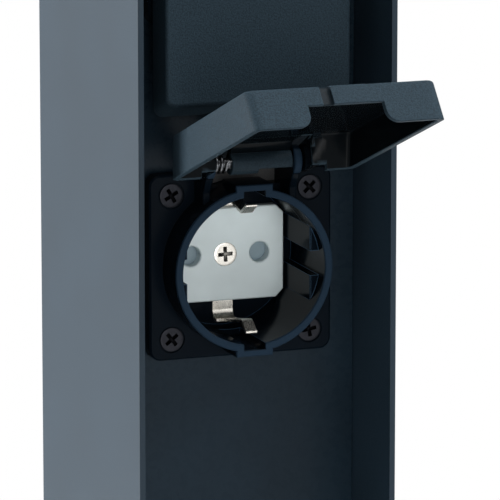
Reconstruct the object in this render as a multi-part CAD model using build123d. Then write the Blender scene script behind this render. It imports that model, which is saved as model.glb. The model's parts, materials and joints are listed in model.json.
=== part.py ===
from build123d import *
from collections import namedtuple
import math
import os

# Outdoor socket post: an aluminium post with an open front channel, and in the channel two
# flange-mounted earthed sockets, one above the other, each with a hinged lid.
# Units are millimetres and +Z is up. The origin is the centre of the base plate's underside.
# The front faces -Y. Each socket is made in a frame of its own, with its origin on the socket's
# axis in the flange's front plane, and is then moved to its place on the post.

# Driving dimensions of the post
post_width = 70.0
post_depth = 84.0
post_height = 400.0
wall = 1.5
shell_corner_radius = 1.0
channel_depth = 27.0
panel_thickness = 2.0
rib_size = 7.0
lower_socket_height = 220.0
socket_pitch = 88.1

# Driving dimensions of the base and the cap
base_thickness = 6.0
base_border = 20.0
base_corner_radius = 8.0
anchor_hole_radius = 4.5
anchor_edge_distance = 9.0
grommet_bore_radius = 6.0
grommet_wall = 4.0
grommet_rim = 3.0
grommet_rim_height = 2.0
cap_thickness = 3.0
cap_bevel = 0.8
lip_height = 8.0
lip_thickness = 2.0

# Driving dimensions of the flange, the seal and the collar
flange_width = 50.0
flange_height = 49.0
flange_thickness = 4.2
flange_corner_radius = 3.0
flange_bevel = 0.5
seal_thickness = 1.5
seal_inset = 0.4
screw_pitch = 38.0
collar_radius = 21.5
collar_wall = 2.0
collar_height = 10.9
collar_edge = 0.4
recess_edge = 0.25
recess_depth = 22.9
key_boss_width = 10.0
key_boss_reach = 22.6
key_slot_width = 6.0
key_slot_reach = 21.0
key_slot_depth = 20.0
guide_half_gap = 16.8
guide_half_height = 9.8
guide_channel_height = 6.5
guide_setback = 4.6
guide_bevel = 0.3
flange_notch_floor = 20.6

# Driving dimensions of the contact parts
face_width = 32.4
face_height = 24.8
face_chamfer = 2.1
face_thickness = 3.0
face_edge = 0.3
pin_pitch = 19.0
pin_hole_radius = 2.7
pin_hole_bevel = 0.3
boss_radius = 2.6
carrier_depth = 13.0
shutter_thickness = 1.7
shutter_hub_radius = 4.4
shutter_half_width = 3.1
shutter_reach = 13.0
shutter_turn = 37.0
chamber_floor = 1.0
chamber_size = 8.4
tulip_radius = 3.3
tulip_bore = 2.5
tulip_slit = 1.0
tulip_slit_length = 7.0
clamp_width = 6.4
clamp_height = 6.8
clamp_depth = 6.8
clamp_wire_depth = 3.0
wire_hole_radius = 1.5
earth_clamp_height = 11.4
rear_cover_depth = 12.0
rear_cover_wall = 1.5
leaf_thickness = 0.25
leaf_right_x = -1.0
leaf_bend_x = -6.5
leaf_left_x = -9.0
leaf_bend_radius = 1.0

# Driving dimensions of the earth clip
clip_thickness = 0.8
clip_root_width = 5.6
clip_arm_width = 3.0
clip_root_length = 4.0
clip_reach = 18.0
clip_bend_radius = 2.4
clip_apex_height = 14.4
clip_apex_y = -4.4
clip_apex_bend = 0.9
clip_tip_height = 16.7
clip_tip_y = -8.0
clip_eye_radius = 4.6
earth_tab_width = 4.0

# Driving dimensions of the lid and its hinge
lid_width = 50.0
lid_depth = 10.7
lid_wall = 1.8
lid_bevel = 0.7
lid_corner_radius = 2.8
lid_front_y = -13.75
lid_free_end = -43.4
lid_hinge_end = 16.2
lid_end_flare = 4.4
cable_notch_width = 19.9
cable_notch_height = 5.6
cable_notch_rounding = 3.0
groove_x = -5.8
groove_width = 2.7
groove_depth = 0.9
pad_right_x = 6.3
pad_height = 0.5
hinge_y = -7.8
hinge_z = 28.0
lid_open_angle = 110.5
ear_inner_x = 10.8
ear_thickness = 2.0
ear_radius = 3.9
ear_stem_depth = 7.0
ear_foot_z = 15.5
ear_foot_height = 5.0
ear_back_angle = 37.0
ear_bevel = 0.25
lug_thickness = 2.0
lug_radius = 3.4
lug_front_angle = 170.0
barrel_radius = 3.0
barrel_left_x = -6.0
barrel_right_x = 10.5
barrel_relief_x = 1.3
barrel_relief_z = 26.6
arm_foot_angle = 225.0
arm_top_angle = 108.0
hinge_wall_trim = 1.5
hinge_wall_trim_x = 17.0
pin_radius = 1.5
pin_length = 30.6
spring_wire_radius = 0.4
spring_radius = 2.1
spring_turns_closed = 1.95
spring_bend_radius = 0.9
spring_tang_length = 1.2
spring_left_x = -10.3
fixed_leg_phase = 270.0
spring_leg_bend = 1.2

# Driving dimensions of the inner wiring
wire_radius = 1.4
conductor_radius = 0.8
arc_share = 0.45
wire_start_straight = 21.0
wire_cover_straight = 22.0
wire_bow_straight = 8.5
wire_bow = 4.0
terminal_height = 110.0
terminal_body_height = 20.0
terminal_body_depth = 14.0
terminal_side_wall = 5.5
terminal_wire_y = 8.0
terminal_hole_depth = 6.0
terminal_clamp_radius = 1.5
terminal_clamp_length = 4.5
earth_stud_radius = 2.0
earth_stud_length = 9.0
earth_stud_rise = 38.0
nut_width = 7.0
nut_height = 3.2
ring_radius = 4.0
ring_thickness = 0.8
ring_barrel_length = 6.0
ring_bore_depth = 5.0
block_screw_floor = 0.4
slot_width = 0.6
slot_depth = 0.5

# Named clearances, and how far a cut runs past the face that it opens
cut_past = 1.0
slip_clearance = 0.15
thread_clearance = 0.05
ring_clearance = 0.4
ring_depth = 0.5
running_clearance = 0.05
hinge_side_clearance = 0.3
collar_relief = 0.5
press_clearance = 0.1

# Driving dimensions of the screws: shank radius, head radius, head height and whole length
post_screw_shank = 2.4
post_screw_head = 4.4
post_screw_head_height = 2.2
post_screw_length = 16.0
panel_screw_shank = 1.9
panel_screw_head = 3.6
panel_screw_head_height = 1.7
panel_screw_length = 7.5
panel_screw_inset = 25.0
flange_screw_shank = 1.95
flange_screw_head = 3.15
flange_screw_head_height = 1.9
flange_screw_length = 13.0
centre_screw_shank = 1.5
centre_screw_head = 3.15
centre_screw_head_height = 1.5
centre_screw_length = 14.5
clamp_screw_shank = 1.25
clamp_screw_head = 2.2
clamp_screw_head_height = 1.3
clamp_screw_length = 3.4
block_screw_shank = 1.6
block_screw_head = 2.6
block_screw_head_height = 1.4
block_screw_length = 15.4

# The cross recess of every screw, as shares of its head's radius and height
cross_reach_share = 0.62
cross_width_share = 0.28
cross_depth_share = 0.57

Screw = namedtuple("Screw", "shank head head_height length")
post_screw = Screw(post_screw_shank, post_screw_head, post_screw_head_height, post_screw_length)
panel_screw = Screw(panel_screw_shank, panel_screw_head, panel_screw_head_height, panel_screw_length)
flange_screw = Screw(flange_screw_shank, flange_screw_head, flange_screw_head_height, flange_screw_length)
centre_screw = Screw(centre_screw_shank, centre_screw_head, centre_screw_head_height, centre_screw_length)
clamp_screw = Screw(clamp_screw_shank, clamp_screw_head, clamp_screw_head_height, clamp_screw_length)
block_screw = Screw(block_screw_shank, block_screw_head, block_screw_head_height, block_screw_length)

# How far each screw is turned, in degrees: those of a flange as seen in the photograph,
# and elsewhere a step from one to the next
flange_screw_turns = {"lower": (38, 30, 10, 44), "upper": (22, 5, 61, 33)}
turn_step = 25
centre_screw_turn = 3

# Places on the post, from the sizes above
front_y = -post_depth / 2
back_y = post_depth / 2
inner_x = post_width / 2 - wall
chamber_back_y = back_y - wall
panel_front_y = front_y + channel_depth
panel_back_y = panel_front_y + panel_thickness
shell_bottom = base_thickness
shell_top = post_height - cap_thickness
rib_x = inner_x - rib_size / 2
front_rib_y = panel_back_y + rib_size / 2
back_rib_y = chamber_back_y - rib_size / 2
chamber_middle_y = (panel_back_y + chamber_back_y) / 2
base_width = post_width + 2 * base_border
base_depth = post_depth + 2 * base_border
inlet_radius = grommet_bore_radius + grommet_wall
earth_stud_height = terminal_height + earth_stud_rise

# Places on a socket, from the sizes above
flange_y = panel_front_y - seal_thickness - flange_thickness
rim_y = -collar_height
face_y = rim_y + recess_depth
carrier_y = face_y + face_thickness
pocket_floor_y = carrier_y + shutter_thickness + 2 * slip_clearance
chamber_y = pocket_floor_y + chamber_floor
rear_y = carrier_y + carrier_depth
clamp_y = rear_y + slip_clearance
wire_y = clamp_y + clamp_wire_depth
recess_radius = collar_radius - collar_wall
carrier_radius = recess_radius - press_clearance
panel_hole_radius = collar_radius + 2 * slip_clearance
pin_x = pin_pitch / 2
screw_offset = screw_pitch / 2
shutter_corner = math.radians(shutter_turn) + math.asin(shutter_half_width / shutter_reach)
shutter_gap_height = shutter_reach * math.sin(shutter_corner) + 2 * slip_clearance
lid_back_y = lid_front_y + lid_depth
ear_outer_x = ear_inner_x + ear_thickness
lug_inner_x = ear_outer_x + hinge_side_clearance
lug_outer_x = lug_inner_x + lug_thickness
pin_hole = pin_radius + running_clearance
hinge_axis = Axis((0, hinge_y, hinge_z), (1, 0, 0))
coil_right_x = barrel_left_x - spring_bend_radius - spring_wire_radius
coil_length = coil_right_x - spring_left_x

# Places of the terminal block, from the sizes above
terminal_bottom = terminal_height - terminal_body_height / 2
terminal_top = terminal_height + terminal_body_height / 2
terminal_back_y = panel_back_y + terminal_body_depth
pole_y = panel_back_y + terminal_wire_y

# The two sockets: the height of each axis, and how far its lid stands open at rest
socket_heights = {"lower": lower_socket_height, "upper": lower_socket_height + socket_pitch}
lid_rest_angles = {"lower": lid_open_angle, "upper": 0.0}


def block(x0, x1, y0, y1, z0, z1):
    """A box between two corners."""
    return Pos((x0 + x1) / 2, (y0 + y1) / 2, (z0 + z1) / 2) * Box(x1 - x0, y1 - y0, z1 - z0)


def rod_x(radius, x0, x1, y, z):
    """A round rod along X."""
    return Pos((x0 + x1) / 2, y, z) * Rot(0, 90, 0) * Cylinder(radius, x1 - x0)


def rod_y(radius, y0, y1, x=0.0, z=0.0):
    """A round rod along Y."""
    return Pos(x, (y0 + y1) / 2, z) * Rot(90, 0, 0) * Cylinder(radius, y1 - y0)


def rod_z(radius, z0, z1, x=0.0, y=0.0):
    """A round rod along Z."""
    return Pos(x, y, (z0 + z1) / 2) * Cylinder(radius, z1 - z0)


def plate_y(sketch, y0, y1):
    """A sketch drawn in X and Z, made into a plate from y0 to y1."""
    return extrude(Plane.XZ.offset(-y1) * sketch, y1 - y0, dir=(0, -1, 0))


def plate_x(sketch, x0, x1):
    """A sketch drawn in Y and Z, made into a plate from x0 to x1."""
    return extrude(Plane.YZ.offset(x0) * sketch, x1 - x0, dir=(1, 0, 0))


def corners(dx, dz):
    """The four corners of a rectangle about the origin."""
    return [(sx * dx, sz * dz) for sx in (-1, 1) for sz in (-1, 1)]


def screw_solid(screw, turn):
    """A countersunk screw with a cross recess, head up at z = 0 and shank down."""
    head = Pos(0, 0, -screw.head_height / 2) * Cone(screw.shank, screw.head, screw.head_height)
    body = head + rod_z(screw.shank, -screw.length, -screw.head_height)
    arm = 2 * cross_reach_share * screw.head
    width = cross_width_share * screw.head
    depth = cross_depth_share * screw.head_height
    for angle in (turn, turn + 90):
        body -= Rot(0, 0, angle) * Box(arm, width, 2 * depth)
    return body


def screw_hole(screw, depth, shank_clearance):
    """The room for a countersunk screw, head at z = 0 and hole down to the depth."""
    seat = screw.head_height
    cone = Cone(screw.shank + thread_clearance, screw.head + thread_clearance, seat)
    shank = rod_z(screw.shank + shank_clearance, -depth, -seat / 2)
    return Pos(0, 0, -seat / 2) * cone + shank


def ringed_screw_hole(screw, depth, shank_clearance):
    """A screw hole with a shallow round groove about the head, as moulded flanges have."""
    groove = rod_z(screw.head + ring_clearance, -ring_depth, 0)
    return screw_hole(screw, depth, shank_clearance) + groove


def facing_front(item, x, y, z):
    """Turns an item made along Z so that its head faces -Y, and moves it there."""
    return Pos(x, y, z) * Rot(90, 0, 0) * item


def facing_back(item, x, y, z):
    """Turns an item made along Z so that its head faces +Y, and moves it there."""
    return Pos(x, y, z) * Rot(-90, 0, 0) * item


def rib_places():
    """The centres of the four screw ribs of the post shell."""
    return [(sx * rib_x, y) for sx in (-1, 1) for y in (front_rib_y, back_rib_y)]


def panel_screw_places():
    """Where the socket panel is screwed to the two front ribs."""
    levels = (shell_bottom + panel_screw_inset, shell_top - panel_screw_inset)
    return [(sx * rib_x, z) for sx in (-1, 1) for z in levels]


def post_shell():
    """The profile: two side walls and a back, with four screw ribs along its whole height."""
    outline = Rectangle(post_width, post_depth)
    outline = fillet(outline.vertices().group_by(Axis.Y)[-1], shell_corner_radius)
    inside = Pos(0, (front_y + chamber_back_y) / 2) * Rectangle(2 * inner_x, chamber_back_y - front_y)
    section = outline - inside
    for x, y in rib_places():
        section += Pos(x, y) * Rectangle(rib_size, rib_size)
    for x, y in rib_places():
        section -= Pos(x, y) * Circle(post_screw.shank + thread_clearance)
    shell = Pos(0, 0, shell_bottom) * extrude(section, shell_top - shell_bottom)
    hole_depth = panel_screw.length + thread_clearance
    for x, z in panel_screw_places():
        hole = screw_hole(panel_screw, hole_depth, thread_clearance)
        shell -= facing_front(hole, x, panel_front_y, z)
    return shell


def socket_panel():
    """The floor of the channel, with a round hole and four screw holes for each socket."""
    half = inner_x - slip_clearance
    panel = block(-half, half, panel_front_y, panel_back_y, shell_bottom, shell_top)
    for height in socket_heights.values():
        panel -= rod_y(panel_hole_radius, panel_front_y, panel_back_y, 0, height)
        for x, z in corners(screw_offset, screw_offset):
            radius = flange_screw.shank + thread_clearance
            panel -= rod_y(radius, panel_front_y, panel_back_y, x, height + z)
    for x, z in panel_screw_places():
        hole = screw_hole(panel_screw, panel_screw.length, thread_clearance)
        panel -= facing_front(hole, x, panel_front_y, z)
    for x in block_screw_places():
        top = panel_back_y - panel_thickness + block_screw_floor
        panel -= rod_y(block_screw.shank + thread_clearance, top, panel_back_y, x, terminal_height)
    return panel


def panel_screws():
    """The four screws that hold the socket panel."""
    places = enumerate(panel_screw_places())
    turned = [(screw_solid(panel_screw, turn_step * i), x, z) for i, (x, z) in places]
    return [facing_front(screw, x, panel_front_y, z) for screw, x, z in turned]


def base_plate():
    """The foot, with four anchor holes, the cable inlet and four countersunk screw holes."""
    plate = extrude(RectangleRounded(base_width, base_depth, base_corner_radius), base_thickness)
    plate = chamfer(plate.edges().group_by(Axis.Z)[-1], cap_bevel)
    for x, y in corners(base_width / 2 - anchor_edge_distance, base_depth / 2 - anchor_edge_distance):
        plate -= rod_z(anchor_hole_radius, 0, base_thickness, x, y)
    plate -= rod_z(inlet_radius, 0, base_thickness, 0, chamber_middle_y)
    for x, y in rib_places():
        plate -= Pos(x, y, 0) * Rot(180, 0, 0) * screw_hole(post_screw, base_thickness, thread_clearance)
    return plate


def base_screws():
    """The four screws up through the base plate into the ribs of the shell."""
    turned = [(screw_solid(post_screw, turn_step * i), x, y) for i, (x, y) in enumerate(rib_places())]
    return [Pos(x, y, 0) * Rot(180, 0, 0) * screw for screw, x, y in turned]


def cable_grommet():
    """The rubber ring in the cable inlet, with its rim on the plate's upper face."""
    body = rod_z(inlet_radius - running_clearance, press_clearance, base_thickness, 0, chamber_middle_y)
    top = base_thickness + grommet_rim_height
    body += rod_z(inlet_radius + grommet_rim, base_thickness, top, 0, chamber_middle_y)
    return body - rod_z(grommet_bore_radius, 0, top, 0, chamber_middle_y)


def top_cap():
    """The lid of the post: a bevelled plate with three lips that centre it in the chamber."""
    cap = block(-post_width / 2, post_width / 2, front_y, back_y, shell_top, post_height)
    cap = chamfer(cap.edges().group_by(Axis.Z)[-1], cap_bevel)
    cap = fillet(cap.edges().filter_by(Axis.Z), shell_corner_radius)
    reach = inner_x - slip_clearance
    side_back = back_rib_y - rib_size
    side_front = front_rib_y + rib_size
    low = shell_top - lip_height
    for side in (-1, 1):
        x0, x1 = sorted((side * reach, side * (reach - lip_thickness)))
        cap += block(x0, x1, side_front, side_back, low, shell_top)
    back = chamber_back_y - slip_clearance
    half = rib_x - rib_size
    cap += block(-half, half, back - lip_thickness, back, low, shell_top)
    for x, y in rib_places():
        cap -= Pos(x, y, post_height) * screw_hole(post_screw, cap_thickness, thread_clearance)
    return cap


def cap_screws():
    """The four screws down through the cap into the ribs of the shell."""
    places = enumerate(rib_places())
    return [Pos(x, y, post_height) * screw_solid(post_screw, turn_step * i) for i, (x, y) in places]


def around_hinge(radius, angle):
    """Y and Z of a point round the hinge axis, with the angle from +Y towards +Z."""
    turn = math.radians(angle)
    return hinge_y + radius * math.cos(turn), hinge_z + radius * math.sin(turn)


def ear_outline():
    """A hinge ear in Y and Z: a stem on the flange that ends in a round eye."""
    eye = Pos(hinge_y, hinge_z) * Circle(ear_radius)
    stem = Polygon(
        (0, ear_foot_z),
        (0, flange_height / 2),
        around_hinge(ear_radius, ear_back_angle),
        around_hinge(ear_radius, 180),
        (-ear_stem_depth, ear_foot_z + ear_foot_height),
        (-ear_stem_depth, ear_foot_z),
        align=None,
    )
    return eye + stem


def socket_housing():
    """Flange, collar, guide blocks, key bosses and hinge ears, moulded in one piece."""
    flange = plate_y(RectangleRounded(flange_width, flange_height, flange_corner_radius), 0, flange_thickness)
    flange = chamfer(flange.edges().group_by(Axis.Y)[0], flange_bevel)
    notch = ear_inner_x
    flange -= block(-notch, notch, 0, flange_thickness, flange_notch_floor, flange_height)
    collar = rod_y(collar_radius, rim_y, rear_y)
    body = flange + fillet(collar.edges().filter_by(GeomType.CIRCLE).group_by(Axis.Y)[0], collar_edge)
    half_boss = key_boss_width / 2
    boss = block(-half_boss, half_boss, rim_y, 0, -key_boss_reach, key_boss_reach)
    body += fillet(boss.edges().group_by(Axis.Y)[0], collar_edge)
    for side in (-1, 1):
        x0, x1 = sorted((side * ear_inner_x, side * ear_outer_x))
        ear = plate_x(ear_outline(), x0, x1)
        body += chamfer(ear.edges().group_by(Axis.X)[0] + ear.edges().group_by(Axis.X)[-1], ear_bevel)
    recess = rod_y(recess_radius, rim_y, rear_y)
    mouth = Cone(recess_radius, recess_radius + recess_edge, recess_edge)
    recess += facing_front(mouth, 0, rim_y + recess_edge / 2, 0)
    for side in (-1, 1):
        x0, x1 = sorted((side * guide_half_gap, side * collar_radius))
        guide = block(x0, x1, rim_y + guide_setback, carrier_y, -guide_half_height, guide_half_height)
        guide = chamfer(guide.edges().filter_by(Axis.Z).group_by(Axis.Y)[0], guide_bevel)
        half = guide_channel_height / 2
        recess -= guide - block(x0, x1, rim_y, carrier_y, -half, half)
    body -= recess
    half_slot = key_slot_width / 2
    slot_end = rim_y + key_slot_depth
    body -= block(-half_slot, half_slot, rim_y, slot_end, -key_slot_reach, key_slot_reach)
    for x, z in corners(screw_offset, screw_offset):
        body -= facing_front(ringed_screw_hole(flange_screw, flange_thickness, slip_clearance), x, 0, z)
    body -= rod_x(pin_hole, -ear_outer_x, ear_outer_x, hinge_y, hinge_z)
    return body


def flange_seal():
    """The rubber seal between the flange and the panel."""
    width = flange_width - 2 * seal_inset
    height = flange_height - 2 * seal_inset
    sheet = RectangleRounded(width, height, flange_corner_radius)
    sheet -= Circle(collar_radius + slip_clearance)
    for x, z in corners(screw_offset, screw_offset):
        sheet -= Pos(x, z) * Circle(flange_screw.shank + 2 * slip_clearance)
    return plate_y(sheet, flange_thickness, flange_thickness + seal_thickness)


def flange_screws(turns):
    """The four screws that hold a socket to the panel."""
    places = zip(corners(screw_offset, screw_offset), turns)
    return [facing_front(screw_solid(flange_screw, turn), x, 0, z) for (x, z), turn in places]


def contact_face():
    """The grey face with the pin holes, with a groove behind it for the earth strap."""
    outline = Rectangle(face_width, face_height)
    outline = chamfer(outline.vertices(), face_chamfer)
    face = plate_y(outline, face_y, carrier_y)
    face = chamfer(face.edges().group_by(Axis.Y)[0], face_edge)
    strap_y = carrier_y - clip_thickness - running_clearance
    groove = clip_root_width / 2 + slip_clearance
    face -= block(-groove, groove, strap_y, carrier_y, -face_height, face_height)
    face -= rod_y(clip_eye_radius + slip_clearance, strap_y, carrier_y)
    face += rod_y(boss_radius, strap_y, pocket_floor_y)
    for side in (-1, 1):
        hole = rod_y(pin_hole_radius, face_y, carrier_y, side * pin_x)
        mouth = Cone(pin_hole_radius, pin_hole_radius + pin_hole_bevel, pin_hole_bevel)
        face -= hole + facing_front(mouth, side * pin_x, face_y + pin_hole_bevel / 2, 0)
    return face - facing_front(screw_hole(centre_screw, centre_screw.length, press_clearance), 0, face_y, 0)


def shutter():
    """The turning shutter: a hub with two blades, each just behind a pin hole."""
    outline = Rectangle(2 * shutter_reach, 2 * shutter_half_width) & Circle(shutter_reach)
    outline += Circle(shutter_hub_radius)
    outline -= Circle(boss_radius + running_clearance)
    return plate_y(outline, carrier_y + slip_clearance, pocket_floor_y - slip_clearance)


def shutter_spring():
    """The leaf that pushes the shutter back over the pin holes."""
    top = shutter_gap_height - leaf_thickness
    foot = shutter_half_width + leaf_thickness
    points = [(leaf_right_x, top), (leaf_bend_x, top), (leaf_left_x, foot)]
    path = FilletPolyline(*points, radius=leaf_bend_radius)
    leaf = make_face(path.wire().offset_2d(leaf_thickness / 2, side=Side.BOTH))
    return plate_y(leaf, carrier_y + 2 * slip_clearance, pocket_floor_y - 2 * slip_clearance)


def contact_carrier():
    """The black inner block: shutter pocket in front, a contact chamber behind each pin hole."""
    carrier = rod_y(carrier_radius, carrier_y, rear_y)
    pocket = Circle(shutter_reach + 2 * slip_clearance)
    pocket &= Rectangle(4 * shutter_reach, 2 * shutter_gap_height)
    carrier -= plate_y(pocket, carrier_y, pocket_floor_y)
    half = chamber_size / 2
    for side in (-1, 1):
        x = side * pin_x
        carrier -= block(x - half, x + half, chamber_y, rear_y, -half, half)
        carrier -= rod_y(pin_hole_radius + slip_clearance, pocket_floor_y, chamber_y, x)
    tab_half = earth_tab_width / 2 + slip_clearance
    low, high = earth_tab_span()
    carrier -= block(-tab_half, tab_half, carrier_y, rear_y, low - slip_clearance, high + slip_clearance)
    return carrier - rod_y(centre_screw.shank + thread_clearance, pocket_floor_y, rear_y)


def wire_clamp(x, z):
    """The brass terminal block of one contact, with its wire hole and screw hole."""
    half = clamp_width / 2
    top = clamp_height / 2
    clamp = block(x - half, x + half, clamp_y, clamp_y + clamp_depth, z - top, z + top)
    clamp -= rod_z(wire_hole_radius, z - top, z + top, x, wire_y)
    return clamp - rod_y(clamp_screw.shank + thread_clearance, wire_y, clamp_y + clamp_depth, x, z)


def line_contact(side):
    """One slit contact sleeve with its terminal."""
    x = side * pin_x
    front = chamber_y + slip_clearance
    sleeve = rod_y(tulip_radius, front, clamp_y + running_clearance, x)
    sleeve -= rod_y(tulip_bore, front, clamp_y, x)
    slit_end = front + tulip_slit_length
    sleeve -= block(x - tulip_slit / 2, x + tulip_slit / 2, front, slit_end, -tulip_radius, tulip_radius)
    return sleeve + wire_clamp(x, 0)


def earth_tab_span():
    """The lowest and highest Z of the earth clip's tab to its terminal."""
    return earth_clamp_height - clip_thickness / 2, earth_clamp_height + clip_thickness / 2


def earth_clip():
    """The bent earth strip: a strap behind the face, two arms with V tips, and its terminal."""
    strap_y = carrier_y - clip_thickness / 2
    clip = None
    for side in (-1, 1):
        points = [
            (strap_y, 0),
            (strap_y, side * clip_reach),
            (clip_apex_y, side * clip_apex_height),
            (clip_tip_y, side * clip_tip_height),
        ]
        path = FilletPolyline(*points, radius=[clip_bend_radius, clip_apex_bend])
        profile = make_face(path.wire().offset_2d(clip_thickness / 2, side=Side.BOTH))
        root = plate_x(profile, -clip_root_width / 2, clip_root_width / 2)
        arm = plate_x(profile, -clip_arm_width / 2, clip_arm_width / 2)
        root_end = carrier_y - clip_root_length
        far = 2 * collar_radius
        root &= block(-far, far, root_end, carrier_y + clip_thickness, -far, far)
        arm &= block(-far, far, rim_y, root_end, -far, far)
        clip = root + arm if clip is None else clip + root + arm
    eye_back = carrier_y
    clip += rod_y(clip_eye_radius, eye_back - clip_thickness, eye_back)
    clip -= rod_y(boss_radius + slip_clearance, eye_back - clip_thickness, eye_back)
    low, high = earth_tab_span()
    half = earth_tab_width / 2
    clip += block(-half, half, eye_back - clip_thickness, clamp_y + running_clearance, low, high)
    return clip + wire_clamp(0, earth_clamp_height)


def terminal_screws():
    """The three screws that clamp the wires in the contacts."""
    places = [(-pin_x, 0), (pin_x, 0), (0, earth_clamp_height)]
    top = clamp_y + clamp_depth + clamp_screw.head_height
    turned = enumerate(places)
    return [facing_back(screw_solid(clamp_screw, turn_step * i), x, top, z) for i, (x, z) in turned]


def rear_cover():
    """The cap over the terminals, with a wire hole above and below each of them."""
    end = rear_y + rear_cover_depth
    cover = rod_y(collar_radius, rear_y, end)
    cover -= rod_y(collar_radius - rear_cover_wall, rear_y, end - rear_cover_wall)
    for x in (-pin_x, 0, pin_x):
        cover -= rod_z(wire_radius + 2 * slip_clearance, -collar_radius, collar_radius, x, wire_y)
    return cover


def lid_section(inset, y, flare):
    """A rounded rectangle of the lid's outline at one depth, made smaller by the inset."""
    low = lid_free_end - flare + inset
    high = lid_hinge_end + flare - inset
    sheet = RectangleRounded(lid_width - 2 * inset, high - low, lid_corner_radius - inset)
    return Plane.XZ.offset(-y) * Pos(0, (low + high) / 2) * sheet


def lid_block():
    """The lid's outer form: a bevelled plate with ends that slant outwards to the open edge."""
    shoulder_flare = lid_end_flare * lid_bevel / lid_depth
    sections = [
        lid_section(lid_bevel, lid_front_y, 0),
        lid_section(0, lid_front_y + lid_bevel, shoulder_flare),
        lid_section(0, lid_back_y, lid_end_flare),
    ]
    return loft(sections, ruled=True)


def lid_cavity():
    """The hollow of the lid, one wall thickness inside its outer form."""
    reach = lid_depth + cut_past
    flare = lid_end_flare * lid_wall / lid_depth
    deep_flare = lid_end_flare * reach / lid_depth
    sections = [
        lid_section(lid_wall, lid_front_y + lid_wall, flare),
        lid_section(lid_wall, lid_back_y + cut_past, deep_flare),
    ]
    return loft(sections, ruled=True)


def cable_notch():
    """The cut in the lid's free end that lets a cable out while the lid is closed."""
    half = cable_notch_width / 2
    top = lid_back_y - cable_notch_height
    past = lid_back_y + cut_past
    outline = Pos(0, (top + past) / 2) * Rectangle(2 * half, past - top)
    rounding = cable_notch_rounding
    for side in (-1, 1):
        corner = Pos(side * (half + rounding / 2), lid_back_y - rounding / 2) * Rectangle(rounding, rounding)
        outline += corner - Pos(side * (half + rounding), lid_back_y - rounding) * Circle(rounding)
    low = lid_free_end - 2 * lid_end_flare
    return Pos(0, 0, low) * extrude(outline, 3 * lid_end_flare, dir=(0, 0, 1))


def lug_outline():
    """A lid lug in Y and Z: from the lid's hinge-end wall to a round eye on the axis."""
    eye = Pos(hinge_y, hinge_z) * Circle(lug_radius)
    stem = Polygon(
        (lid_front_y + lid_bevel, lid_hinge_end - lid_wall),
        (hinge_y, lid_hinge_end),
        (hinge_y + lug_radius, lid_hinge_end + lid_end_flare / 2),
        around_hinge(lug_radius, 0),
        around_hinge(lug_radius, lug_front_angle),
        align=None,
    )
    return eye + stem


def arm_outline():
    """The arm in Y and Z that carries the lid plate from the hinge barrel."""
    inner_y = lid_front_y + lid_wall
    knee_z = key_boss_reach + lid_bevel
    return Polygon(
        (lid_front_y, lid_hinge_end - lid_wall),
        (inner_y, lid_hinge_end - lid_wall),
        (inner_y, knee_z),
        around_hinge(barrel_radius, arm_foot_angle),
        around_hinge(barrel_radius, arm_top_angle),
        (lid_front_y, knee_z + lid_wall),
        align=None,
    )


def lid(open_angle):
    """A lid, closed at 0 degrees, then turned about the hinge axis to its rest angle."""
    form = lid_block()
    low = lid_free_end - 3 * lid_end_flare
    middle = lid_free_end + 3 * lid_end_flare
    before = lid_front_y - cut_past
    past = lid_back_y + cut_past
    pad_left = groove_x + groove_width
    pad_band = block(pad_left, pad_right_x, lid_front_y, lid_back_y, low, middle)
    form += (Pos(0, 0, -pad_height) * lid_block()) & pad_band
    groove_band = block(groove_x, pad_left, before, past, low, middle)
    form -= groove_band - Pos(0, 0, groove_depth) * lid_block()
    form -= lid_cavity()
    form -= cable_notch()
    gap = lug_inner_x
    form -= block(-gap, gap, lid_front_y + lid_wall, past, lid_hinge_end / 2, hinge_z)
    trim_y = lid_back_y - hinge_wall_trim
    form -= block(-hinge_wall_trim_x, hinge_wall_trim_x, trim_y, past, lid_hinge_end / 2, hinge_z)
    form += hinge_barrel()
    for side in (-1, 1):
        x0, x1 = sorted((side * lug_inner_x, side * lug_outer_x))
        form += plate_x(lug_outline(), x0, x1)
    form -= rod_y(collar_radius + collar_relief, rim_y - collar_relief, past)
    form -= rod_x(pin_hole, -lug_outer_x, lug_outer_x, hinge_y, hinge_z)
    y, z = tang_place()
    tang_end = barrel_left_x + spring_tang_length + press_clearance
    form -= rod_x(spring_wire_radius + running_clearance, barrel_left_x, tang_end, y, z)
    return form.rotate(hinge_axis, -open_angle)


def hinge_barrel():
    """The lid's barrel and the arm that carries it, with a relief that is level on an open lid."""
    barrel = rod_x(barrel_radius, barrel_left_x, barrel_right_x, hinge_y, hinge_z)
    reach = 2 * barrel_radius
    low_y, high_y = hinge_y - reach, hinge_y + reach
    relief = block(barrel_relief_x, barrel_right_x, low_y, high_y, hinge_z - reach, barrel_relief_z)
    barrel -= relief.rotate(hinge_axis, lid_open_angle)
    return barrel + plate_x(arm_outline(), barrel_left_x, barrel_right_x)


def hinge_pin():
    """The steel pin through ears, barrel and lugs."""
    return rod_x(pin_radius, -pin_length / 2, pin_length / 2, hinge_y, hinge_z)


def on_coil(phase, x):
    """A point on the spring's coil: phase in degrees in the Y-Z plane, from +Y towards +Z."""
    return Vector(x, *around_hinge(spring_radius, phase))


def biarc(start, start_way, end, end_way):
    """Two arcs that join two points and keep both directions."""
    span = end - start
    total = start_way + end_way
    spread = 2 * (1 - start_way.dot(end_way))
    along = span.dot(total)
    reach = (math.sqrt(along * along + spread * span.dot(span)) - along) / spread
    joint = (start + end + (start_way - end_way) * reach) * 0.5
    first = Edge.make_tangent_arc(start, start_way, joint)
    second = Edge.make_tangent_arc(joint, first % 1, end)
    return [first, second]


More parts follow.
